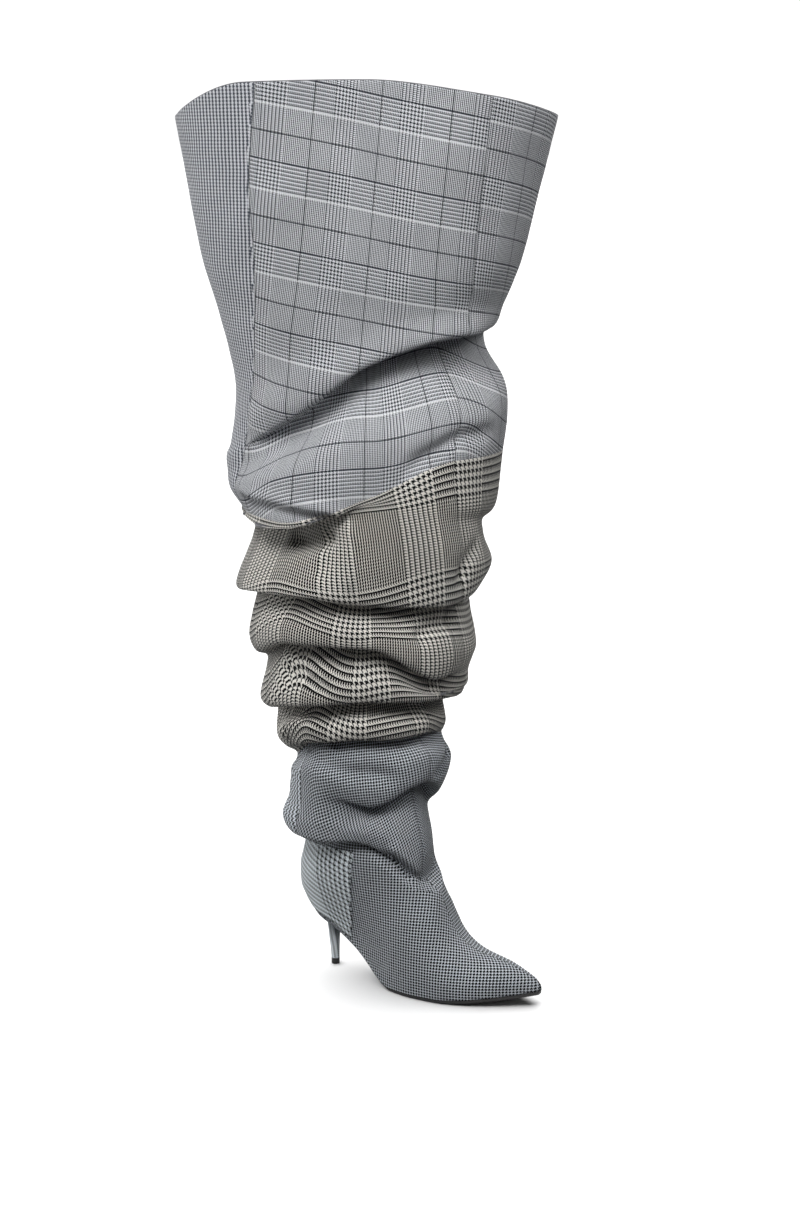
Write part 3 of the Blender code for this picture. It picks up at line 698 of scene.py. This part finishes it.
def finish(name, roughness, **sockets):
    """A new material with its Principled shader's plain values, as (material, tree, shader)."""
    made = bpy.data.materials.new(name)
    made.use_nodes = True
    shader = made.node_tree.nodes["Principled BSDF"]
    shader.inputs["Roughness"].default_value = roughness
    for socket, value in sockets.items():
        shader.inputs[socket.replace("_", " ")].default_value = value
    return made, made.node_tree, shader


def feed(shader, **sources):
    """Links what has been worked out to the shader's sockets."""
    for socket, source in sources.items():
        shader.id_data.links.new(source, shader.inputs[socket.replace("_", " ")])


def yarn_order(tree, thread, coarse, fine, dark_of_eight=4, dark_of_four=2):
    """Dark (1) and pale (0) threads in coarse groups of eight, then fine groups of four.

    Gives also each thread's place in the whole order.
    """
    place = add(tree, "Math", (thread, 8.0 * coarse + 4.0 * fine), operation="FLOORED_MODULO")
    in_coarse = add(tree, "Math", (place, 8.0 * coarse - 0.5), operation="LESS_THAN")
    dark = []
    for size, number in ((4.0, dark_of_four), (8.0, dark_of_eight)):
        in_group = add(tree, "Math", (place, size), operation="FLOORED_MODULO")
        dark.append(add(tree, "Math", (in_group, number - 0.5), operation="LESS_THAN"))
    return add(tree, "Mix", {0: in_coarse, 2: dark[0], 3: dark[1]}, data_type="FLOAT"), place


def twill(tree, across, up, threads, warp, weft, colours, lines=((), ())):
    """Two-by-two twill as (colour, height), from places on the cloth in millimetres.

    threads are the widths of warp and weft, warp and weft are each the numbers for yarn_order,
    colours are the pale and the dark yarn, and lines are single darker or paler threads of warp and
    weft, as (first thread, number of threads, colour).
    """
    numbers, darks, places, crowns = [], [], [], []
    for along, width, order in zip((across, up), threads, (warp, weft)):
        at = add(tree, "Math", (along, width), operation="DIVIDE")
        numbers.append(add(tree, "Math", (at,), operation="FLOOR"))
        dark, place = yarn_order(tree, numbers[-1], *order)
        darks.append(dark)
        places.append(place)
        inside = add(tree, "Math", (at,), operation="FRACT")
        bow = add(tree, "Math", (inside, 0.5), operation="SUBTRACT")
        side = add(tree, "Math", (bow,), operation="ABSOLUTE")
        crowns.append(add(tree, "Math", (1.0, side), operation="SUBTRACT"))
    step = add(tree, "Math", numbers, operation="ADD")
    next_step = add(tree, "Math", (step, 1.0), operation="ADD")
    turn = add(tree, "Math", (next_step, 4.0), operation="FLOORED_MODULO")
    warp_shows = add(tree, "Math", (turn, 1.5), operation="LESS_THAN")
    dark = add(tree, "Mix", {0: warp_shows, 2: darks[1], 3: darks[0]}, data_type="FLOAT")
    height = add(tree, "Mix", {0: warp_shows, 2: crowns[1], 3: crowns[0]}, data_type="FLOAT")
    pale_yarn, dark_yarn = colours
    colour = add(tree, "Mix", {0: dark, 6: linear(pale_yarn), 7: linear(dark_yarn)}, 2,
                 data_type="RGBA")
    for place, singles in zip(places, lines):
        for first, number, yarn in singles:
            middle = add(tree, "Math", (place, first + (number - 1) / 2), operation="SUBTRACT")
            away = add(tree, "Math", (middle,), operation="ABSOLUTE")
            here = add(tree, "Math", (away, number / 2), operation="LESS_THAN")
            share = add(tree, "Math", (here, LINE_SHARE), operation="MULTIPLY")
            colour = add(tree, "Mix", {0: share, 6: colour, 7: linear(yarn)}, 2, data_type="RGBA")
    return colour, height


def either(tree, share, first, second):
    """One of two weaves, each (colour, height): the first at a share of 0 and the second at 1."""
    colour = add(tree, "Mix", {0: share, 6: first[0], 7: second[0]}, 2, data_type="RGBA")
    return colour, add(tree, "Mix", {0: share, 2: first[1], 3: second[1]}, data_type="FLOAT")


def cloth(weave):
    """A woven wool cloth: dull, with a little sheen where it turns away, and threads that stand up.

    weave gives colour and height from the tree, the places across and up in the first UV layer, and
    the distances from the front and the outer seam in the second.
    """
    made, tree, shader = finish(weave.__name__, WOOL_ROUGHNESS, IOR=1.45, Specular_IOR_Level=0.25,
                                Sheen_Weight=0.12, Sheen_Roughness=0.4)
    at = add(tree, "SeparateXYZ", (add(tree, "UVMap", uv_map="cloth"),)).node.outputs
    seam = add(tree, "SeparateXYZ", (add(tree, "UVMap", uv_map="seam"),)).node.outputs
    colour, height = weave(tree, at[0], at[1], seam[0], seam[1])
    shades = []
    for away in seam[:2]:
        plain = add(tree, "Math", (away,), operation="ABSOLUTE")
        shades.append(add(tree, "MapRange", (plain, *SEAM_LINE, SEAM_SHADE, 1.0)))
    place = add(tree, "TexCoord", output=3)
    drift = add(tree, "TexNoise", {"Vector": place, "Scale": 1000.0 / DRIFT_PATCH, "Detail": 3.0})
    shades.append(add(tree, "MapRange", (drift, 0.3, 0.7, 1.0 - DRIFT, 1.0 + DRIFT)))
    for shade in shades:
        colour = add(tree, "Mix", {0: 1.0, 6: colour, 7: shade}, 2, data_type="RGBA",
                     blend_type="MULTIPLY")
    bump = add(tree, "Bump", {"Strength": 0.6, "Distance": WEAVE_BUMP, "Height": height})
    feed(shader, Base_Color=colour, Normal=bump)
    return made


def stepped(tree, place, front, step, start):
    """A place on the cloth from its start, with a step past the front seam."""
    past_front = add(tree, "Math", (front, 0.0), operation="GREATER_THAN")
    moved = add(tree, "Math", (past_front, step, place), operation="MULTIPLY_ADD")
    return add(tree, "Math", (moved, start), operation="ADD")


def blue_grey_worsted(tree, across, up, front, outer):
    """Thigh: glen check with a dark overcheck in front of the outer seam, a small check behind it.

    Threads of 0.41 mm, pale and slate grey: 64 rows in groups of four, then 112 in groups of two.
    From a step away it is a soft blue-grey with thin dark and white lines.
    """
    down = add(tree, "Math", (0.0, up), operation="SUBTRACT")
    warp_place = stepped(tree, across, front, THIGH_STEP[0], THIGH_START[0])
    weft_place = stepped(tree, down, front, THIGH_STEP[1], THIGH_START[1])
    glen = twill(
        tree, warp_place, weft_place, (0.41, 0.41), (7, 26), (8, 28), ("#e2e4e8", "#2f3239"),
        (((112, 3, "#1e2027"),), ((0, 3, "#2a2c34"), (63, 2, "#ececee"), (118, 3, "#2a2c34"))))
    small = twill(tree, across, up, (0.95, 0.75), (0, 1), (0, 1), ("#d3d5da", "#4a4d56"))
    ahead = add(tree, "Math", (outer, 0.0), operation="GREATER_THAN")
    return either(tree, ahead, small, glen)


def ecru_wool(tree, across, up, front, outer):
    """Middle of the shaft: glen check of ecru and black threads, 0.63 and 0.68 mm.

    Black and ecru are far apart, so its blocks and stripes show at any distance.
    """
    warp_place = stepped(tree, across, front, MIDDLE_STEP, MIDDLE_START[0])
    weft_place = add(tree, "Math", (up, MIDDLE_START[1]), operation="ADD")
    return twill(tree, warp_place, weft_place, (0.63, 0.68), (8, 19, 4, 3), (7, 24),
                 ("#e4e1da", "#060606"))


def puppytooth_worsted(tree, across, up, front, outer):
    """Foot and ankle: puppytooth of fine threads, with thicker ones on the back strip.

    A crisp small check, darker than the other cloths and a little blue from a step away.  It is 2.8 mm,
    drawn a little coarser than the real one so that it shows.
    """
    colours = "#dde3ea", "#0d0f13"
    fine = twill(tree, across, up, (0.35, 0.35), (1, 0, 5), (1, 0, 5), colours)
    thick = twill(tree, across, up, (0.54, 0.49), (1, 0), (1, 0), colours)
    middle = add(tree, "Math", (outer, BACK_STRIP / 2), operation="ADD")
    away = add(tree, "Math", (middle,), operation="ABSOLUTE")
    back = add(tree, "Math", (away, BACK_STRIP / 2), operation="LESS_THAN")
    return either(tree, back, fine, thick)


def counter_wool(tree, across, up, front, outer):
    """Heel panel: thicker yarn in checks of 5.6 mm, coarser to the eye than the foot beside it.

    Round the back the warp has only one dark thread in four, so rows show there instead of checks.
    """
    warp_place = add(tree, "Math", (across, BACK_ROWS), operation="SUBTRACT")
    return twill(tree, warp_place, up, (0.7, 0.7), (8, 19, 4, 1), (1, 0, 3), ("#f2faff", "#08090c"))


def heel_wool(tree, across, up, front, outer):
    """Heel: the panel's yarn with dark warp stripes along the heel, broken up by a plain pale weft."""
    return twill(tree, across, up, (0.8, 0.6), (1, 0, 4), (0, 1, 4, 0), ("#f2faff", "#08090c"))


def lining_twill():
    """Lining: plain grey viscose twill, with a soft sheen and a fine diagonal rib."""
    made, tree, shader = finish("grey_viscose_lining", 0.55, Sheen_Weight=0.2, Sheen_Roughness=0.3)
    at = add(tree, "UVMap", uv_map="cloth")
    rib = add(tree, "TexWave", {"Vector": at, "Scale": 2 * math.pi / (DIAGONAL_WAVE * RIB)},
              wave_type="BANDS", bands_direction="DIAGONAL")
    colour = add(tree, "Mix", {0: rib, 6: linear("#55565a"), 7: linear("#66676b")}, 2,
                 data_type="RGBA")
    bump = add(tree, "Bump", {"Strength": 0.3, "Distance": RIB_BUMP, "Height": rib})
    feed(shader, Base_Color=colour, Normal=bump)
    return made


def grained(name, dark, pale, grain_mm, roughness, bump_mm, **sockets):
    """A leather or rubber with a fine grain in its colour, gloss and height."""
    made, tree, shader = finish(name, roughness, **sockets)
    place = add(tree, "TexCoord", output=3)
    grain = add(tree, "TexNoise", {"Vector": place, "Scale": 1000.0 / grain_mm, "Detail": 4.0})
    colour = add(tree, "Mix", {0: grain, 6: linear(dark), 7: linear(pale)}, 2, data_type="RGBA")
    gloss = add(tree, "MapRange", (grain, 0.3, 0.7, roughness - 0.08, roughness + 0.1))
    bump = add(tree, "Bump", {"Strength": 0.5, "Distance": bump_mm / 1000.0, "Height": grain})
    feed(shader, Base_Color=colour, Roughness=gloss, Normal=bump)
    return made


# The cloth pieces

GRAIN_CENTRE = -60.0       # degrees round the shaft where the cloth's own upright lies
FALL_LIMIT = 95.0          # degrees from there to where the weft stops falling


def dress_shaft():
    """The upper, the middle and the top of the shaft, each in place of its solid."""
    rows, named = boot_surface()
    ankle = named["ankle_line"]
    degrees = turn_of(rows[ankle])
    reach = cloth_reach(len(rows), named)
    heights = rows[..., 2]
    climb = way(rows)
    foot_end = named["foot_tuck"]
    foot_up = climb - climb[ankle]
    foot_up[:ankle + 1] = foot_girth(foot_levels(), rows[:ankle + 1])
    foot_up[ankle + 1:] += foot_up[ankle]
    normals = outward(rows)
    shift = crease_shift(rows, normals, degrees, ankle) + slack_shift(rows, ankle)
    shift[ankle:] += seam_dips(heights[ankle:], degrees, reach[ankle:])
    shift[0] = 0.0
    moved = rows + normals * shift[..., None]
    inside = moved - WALL * outward(moved)
    arc = np.linalg.norm(np.roll(rows, -1, axis=1) - rows, axis=2)
    from_ridge = np.cumsum(arc, axis=1)
    from_ridge -= from_ridge[:, COLUMNS // 2:COLUMNS // 2 + 1]

    def places(first, zero, even):
        """Cloth coordinates of a tube whose rows start at first, measured up from row zero.

        even is how far the weft keeps the same distance all round, whatever the folds.
        """
        def reading(i, j):
            i = i + first
            turn = unwrapped(degrees[j] - GRAIN_CENTRE)
            turn = wrapped(turn[:, :1]) + turn - turn[:, :1]
            round_ = np.radians(turn) * reach[i]
            near = np.radians(np.clip(turn, -FALL_LIMIT, FALL_LIMIT)) * reach[i]
            rise = (1 - even) * (climb[i, j] - climb[zero, j])
            rise += even * (climb[i].mean(axis=-1) - climb[zero].mean())
            ahead = wrapped(degrees[j] - seam_turn(OUTER_SEAM, heights[i, j])).max(axis=1) > 0
            across, up = round_.copy(), rise.copy()
            for low, high, lower, *values in SLOUCH:
                here = (i.min(axis=1) >= named[low]) & (i.max(axis=1) <= named[high])
                share = (i[here] - named[low]) / (named[high] - named[low])
                slip, fall, lean = (a + (b - a) * share for a, b in values)
                turned = ahead[here, None] | (low != "thigh_tuck")
                across[here] += -slip - rise[here] * lean * turned
                up[here] += lower + (near[here] - slip) * fall * turned
            on_foot = (i <= foot_end).all(axis=1)
            over = (foot_up[i, j] - heights[i, j])[on_foot]
            along = rows[i, j, 0][on_foot] + over * math.sin(math.radians(VAMP_TURN))
            girth = heights[i, j][on_foot] + over * math.cos(math.radians(VAMP_TURN))
            inner = (j[on_foot, :1] >= COLUMNS // 2)
            turn = np.radians(np.where(inner, INNER_TURN, 0.0))
            across[on_foot] = along * np.cos(turn) + girth * np.sin(turn)
            up[on_foot] = girth * np.cos(turn) - along * np.sin(turn)
            return np.stack([across, up], axis=-1)
        return reading

    def seams(first):
        """Distances from the front and the outer seam."""
        def reading(i, j):
            i = i + first
            away = []
            for seam in (FRONT_SEAM, OUTER_SEAM):
                turn = wrapped(degrees[j] - seam_turn(seam, heights[i, j]))
                away.append(np.radians(unwrapped(turn)) * reach[i])
            on_foot = (i <= foot_end).all(axis=1)
            away[0][on_foot] = from_ridge[i, j][on_foot]
            away[1][on_foot] = FOOT_LENGTH
            return np.stack(away, axis=-1)
        return reading

    lining = lining_twill()
    for node, low, high, zero, even, weave, slot in (
            ("upper", "feather", "seam_tuck", "seam_tuck", 0.0, puppytooth_worsted, "puppytooth_cloth"),
            ("shaft_middle", "seam_tuck", "knee_seam", "knee_seam", 0.6, ecru_wool, "ecru_cloth"),
            ("shaft_top", "knee_seam", "collar", "thigh_ring", 0.0, blue_grey_worsted, "blue_grey_cloth")):
        first, last = named[low], named[high] + 1
        made = tube(node + "_cloth", moved[first:last], inside[first:last], node != "upper",
                    [("cloth", places(first, named[zero], even)), ("seam", seams(first))],
                    (cloth(weave), lining))
        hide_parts(node)


def dress_counter():
    """The panel round the heel, laid on the upper as a thin wall with a flat rim round its edges."""
    count, columns = COUNTER_GRID
    levels = np.linspace(solid_level(1), 1.0, count)
    rows = np.array([foot_section(level) for level in levels])
    normals = outward(rows)
    grid, out = np.empty((2, count, columns, 3))
    for i, row in enumerate(rows):
        past = row[:, 0] > COUNTER_FRONT + COUNTER_LEAN * row[:, 2]
        ends = -np.argmax(past[::-1]), np.argmax(past)
        at = np.linspace(*ends, columns)
        for made, source in ((grid, row), (out, normals[i])):
            around_heel = np.roll(source, COLUMNS // 2, axis=0)
            for k in range(3):
                made[i, :, k] = np.interp(at, np.arange(COLUMNS) - COLUMNS // 2, around_heel[:, k])
    face, back = grid + (GAP + COUNTER_THICKNESS) * out, grid + GAP * out
    across = way(grid, 1)
    heel_line = np.argmin(grid[..., 0], axis=1)
    across = np.abs(across - across[np.arange(count), heel_line][:, None])
    up = grid[..., 2] + COUNTER_GRAIN * across
    inside = count * columns
    front = grid_faces(count, columns)
    behind = front[:, ::-1] + inside
    border = ([*range(columns)] + [i * columns + columns - 1 for i in range(1, count)]
              + [(count - 1) * columns + j for j in range(columns - 2, -1, -1)]
              + [i * columns for i in range(count - 2, 0, -1)])
    rim = [(b, a, a + inside, b + inside) for a, b in zip(border, border[1:] + border[:1])]
    faces = np.concatenate([front, behind, np.array(rim)])
    corner = faces % inside
    cloth_uv = np.stack([across.ravel()[corner], up.ravel()[corner]], axis=-1)
    seam_uv = np.full(cloth_uv.shape, FOOT_LENGTH)
    made = add_mesh("heel_counter_cloth", np.concatenate([face, back]), faces.tolist(),
                    (cloth(counter_wool),), [("cloth", cloth_uv), ("seam", seam_uv)])
    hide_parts("heel_counter")


def oval(centre, half_length, half_width, height):
    """A level section of the heel."""
    angle = np.linspace(0.0, 2 * math.pi, HEEL_SIDES, endpoint=False)
    x = centre + half_length * np.cos(angle)
    return np.stack([x, half_width * np.sin(angle), np.full_like(x, height)], axis=1)


def dress_heel():
    """The slender heel in its cloth cover, smooth from the tip up to the slanted seat."""
    seat = oval(*HEEL_SEAT, 0.0)
    seat[:, 2] = sole_bottom(seat[:, 0]) - GAP
    loops = [oval(*HEEL_TIP, TOP_PIECE_HEIGHT + GAP)]
    loops += [oval(*sizes, height * HEEL_HEIGHT) for height, *sizes in HEEL]
    loops = np.array(loops + [seat])
    knots = way(loops).mean(axis=1)
    at = np.linspace(0.0, knots[-1], math.ceil(knots[-1] / HEEL_STEP) + 1)
    rows = curve(knots, loops, at)
    count = len(rows)
    faces = grid_faces(count, HEEL_SIDES, closed_columns=True).tolist()
    faces += [[*range(HEEL_SIDES)][::-1], [*range((count - 1) * HEEL_SIDES, count * HEEL_SIDES)]]
    round_ = 2 * math.pi * np.mean([length for _, _, length, _ in HEEL]) / HEEL_SIDES
    along, aside = math.cos(math.radians(HEEL_TURN)), math.sin(math.radians(HEEL_TURN))
    cloth_uv = []
    for face in faces:
        first = face[0] % HEEL_SIDES
        for corner in face:
            step = (corner - first) % HEEL_SIDES
            across, up = (first + step) * round_, at[corner // HEEL_SIDES]
            cloth_uv.append((across * along - up * aside, up * along + across * aside))
    seam_uv = np.full((len(cloth_uv), 2), FOOT_LENGTH)
    made = add_mesh("heel_cloth_cover", rows, faces, (cloth(heel_wool),),
                    [("cloth", cloth_uv), ("seam", seam_uv)])
    made.data.set_sharp_from_angle(angle=math.radians(HEEL_SHARP))
    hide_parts("heel")


def covered_sole():
    """Sole: black leather with an inked edge under the forefoot, check cloth glued over its waist."""
    made = grained("inked_sole_leather", "#0c0c0d", "#19191b", 0.8, 0.5, 0.05)
    tree = made.node_tree
    shader = tree.nodes["Principled BSDF"]
    leather = shader.inputs["Base Color"].links[0].from_socket
    place = add(tree, "TexCoord", output=3)
    check = add(tree, "TexChecker", {"Vector": place, "Scale": 1000.0 / WAIST_CHECK,
                                     1: linear("#9aa0a8"), 2: linear("#1d2026")})
    edge = (WAIST_COVER - TREAD * FOOT_LENGTH) / 1000.0
    along = add(tree, "SeparateXYZ", (place,))
    ahead = add(tree, "MapRange", (along, edge, edge + 0.001, 0.0, 1.0))
    colour = add(tree, "Mix", {0: ahead, 6: check, 7: leather}, 2, data_type="RGBA")
    rough = add(tree, "MapRange", (ahead, 0.0, 1.0, WOOL_ROUGHNESS, 0.45))
    feed(shader, Base_Color=colour, Roughness=rough)
    return made


def finish_solids():
    """Sole, insole and heel tip keep their solids and get their finishes."""
    finishes = {
        # Black leather with an inked edge: dark, a little gloss, fine grain; dull cloth on the waist
        "outsole": covered_sole(),
        # Moulded rubber: matt black with a faint mould grain
        "top_piece": grained("moulded_rubber", "#0c0c0c", "#151515", 0.5, 0.6, 0.03),
        # Smooth lining leather: dark, with wider soft grain
        "insole": grained("lining_leather", "#35302d", "#463f3b", 1.2, 0.55, 0.05)}
    for node, material in finishes.items():
        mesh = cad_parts[node].data
        mesh.materials.clear()
        mesh.materials.append(material)


# Stage

FLOOR_RADIUS = 30.0        # metres
FLOOR_SIDES = 96
FIBRE = 3.33               # millimetres, coarser than the paper's real fibres, which wouldn't show
CAMERA_PLACE = (0.88104, -1.64631, 0.82787)
CAMERA_DOWN = 13.6         # degrees below the horizon
CAMERA_TURN = 29.06        # degrees round, from looking straight at the outer side
FOCAL_PIXELS = 2084.8      # in the photograph's frame
FRAME_HEIGHT = 1209.0
SENSOR = 36.0              # millimetres


def add_floor():
    """White background paper: dull, with fibres that hardly show."""
    made, tree, shader = finish("white_paper_floor", 0.6, Specular_IOR_Level=0.3)
    place = add(tree, "TexCoord", output=3)
    fibre = add(tree, "TexNoise", {"Vector": place, "Scale": 1000.0 / FIBRE})
    colour = add(tree, "Mix", {0: fibre, 6: linear("#f7f7f7"), 7: linear("#fafafa")}, 2,
                 data_type="RGBA")
    feed(shader, Base_Color=colour)
    mesh = bpy.data.meshes.new("floor")
    turns = np.linspace(0.0, 2 * math.pi, FLOOR_SIDES, endpoint=False)
    mesh.from_pydata([(FLOOR_RADIUS * math.cos(a), FLOOR_RADIUS * math.sin(a), 0.0) for a in turns],
                     [], [tuple(range(len(turns)))])
    mesh.materials.append(made)
    floor = linked("floor", mesh)
    floor.visible_diffuse = False
    return floor


# Softboxes: watts, width, degrees round the shaft from its outer side towards the toe, distance and
# height in metres
#             name          watts width  round  away  up
SOFTBOXES = [("key",        40.0, 0.9,   12.0,  1.6,  2.0),
             ("front_fill", 14.5, 1.0,   86.0,  1.5,  1.8),
             ("back_fill",  5.5,  0.8,  -72.0,  1.2,  0.4),
             ("inner_fill", 24.0, 1.2,  210.0,  1.8,  1.6)]
SOFTBOX_AIM = 0.55         # height that they are turned to
FLOOR_LIGHT = 5.4          # watts a square metre
FLOOR_SOFTNESS = 90.0      # degrees across
FLOOR_LEAN = -20.0         # degrees from upright, away from the camera
FLOOR_TURN = 60.0          # degrees round, from the inner side towards the heel
BACKDROP = 1.05            # brightness that the camera sees behind the boot
SKY = (0.03, 0.09)         # what falls on the boot from there, from below and from above
SKY_EDGE = (-0.1, 0.3)     # rise of a direction, from where it is the one to where it is the other


def add_softbox(name, watts, width, turn, away, up):
    """A square soft light turned to the middle of the boot."""
    lamp = bpy.data.lights.new(name, "AREA")
    lamp.energy = watts
    lamp.size = width
    made = linked(name, lamp)
    a = math.radians(turn)
    axis = (SHAFT_AXIS - TREAD) * FOOT_LENGTH / 1000.0
    made.location = (axis + away * math.sin(a), -away * math.cos(a), up)
    toward = made.location - Vector((axis, 0.0, SOFTBOX_AIM))
    made.rotation_euler = toward.to_track_quat("Z", "Y").to_euler()
    return made


def add_floor_light():
    """A soft light from above and behind, which lays the shadow before the sole."""
    lamp = bpy.data.lights.new("floor_light", "SUN")
    lamp.energy = FLOOR_LIGHT
    lamp.angle = math.radians(FLOOR_SOFTNESS)
    made = linked("floor_light", lamp)
    made.rotation_euler = (math.radians(FLOOR_LEAN), 0.0, math.radians(FLOOR_TURN))
    return made


def group(name, members):
    """A collection that says which objects a light reaches, or which ones shade it."""
    made = bpy.data.collections.new(name)
    for member in members:
        made.objects.link(member)
    return made


def add_light(floor):
    """White studio: a white backdrop that gives little light, and four broad soft lights.

    The floor has a light of its own, which keeps it white, and throws none back on the boot, whose
    undersides are dark.
    """
    world = bpy.data.worlds.new("studio")
    bpy.context.scene.world = world
    world.use_nodes = True
    tree = world.node_tree
    height = add(tree, "SeparateXYZ", (add(tree, "TexCoord"),), 2)
    dim = add(tree, "MapRange", (height, *SKY_EDGE, *SKY))
    level = add(tree, "Mix", {0: add(tree, "LightPath"), 2: dim, 3: BACKDROP}, data_type="FLOAT")
    tree.links.new(level, tree.nodes["Background"].inputs["Strength"])
    tree.nodes["Background"].inputs["Color"].default_value = (1.0, 1.0, 1.0, 1.0)
    not_floor = group("not_floor", [floor])
    not_floor.collection_objects[0].light_linking.link_state = "EXCLUDE"
    for box in SOFTBOXES:
        add_softbox(*box).light_linking.receiver_collection = not_floor
    shading = [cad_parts[node] for node in ("outsole", "top_piece", "insole")]
    made = add_floor_light()
    made.light_linking.receiver_collection = group("only_floor", [floor])
    made.light_linking.blocker_collection = group(
        "under_foot", shading + [bpy.data.objects["upper_cloth"]])


def add_camera():
    """The photograph's camera, from its place, turn and focal length in the photograph's pixels."""
    lens = bpy.data.cameras.new("camera")
    lens.sensor_width = SENSOR
    lens.lens = FOCAL_PIXELS / FRAME_HEIGHT * SENSOR
    lens.clip_end = 2 * FLOOR_RADIUS
    made = linked("camera", lens)
    made.location = CAMERA_PLACE
    made.rotation_euler = (math.radians(90.0 - CAMERA_DOWN), 0.0, math.radians(CAMERA_TURN))
    bpy.context.scene.camera = made


dress_shaft()
dress_counter()
dress_heel()
finish_solids()
add_light(add_floor())
add_camera()
bpy.context.scene.view_settings.view_transform = "Standard"
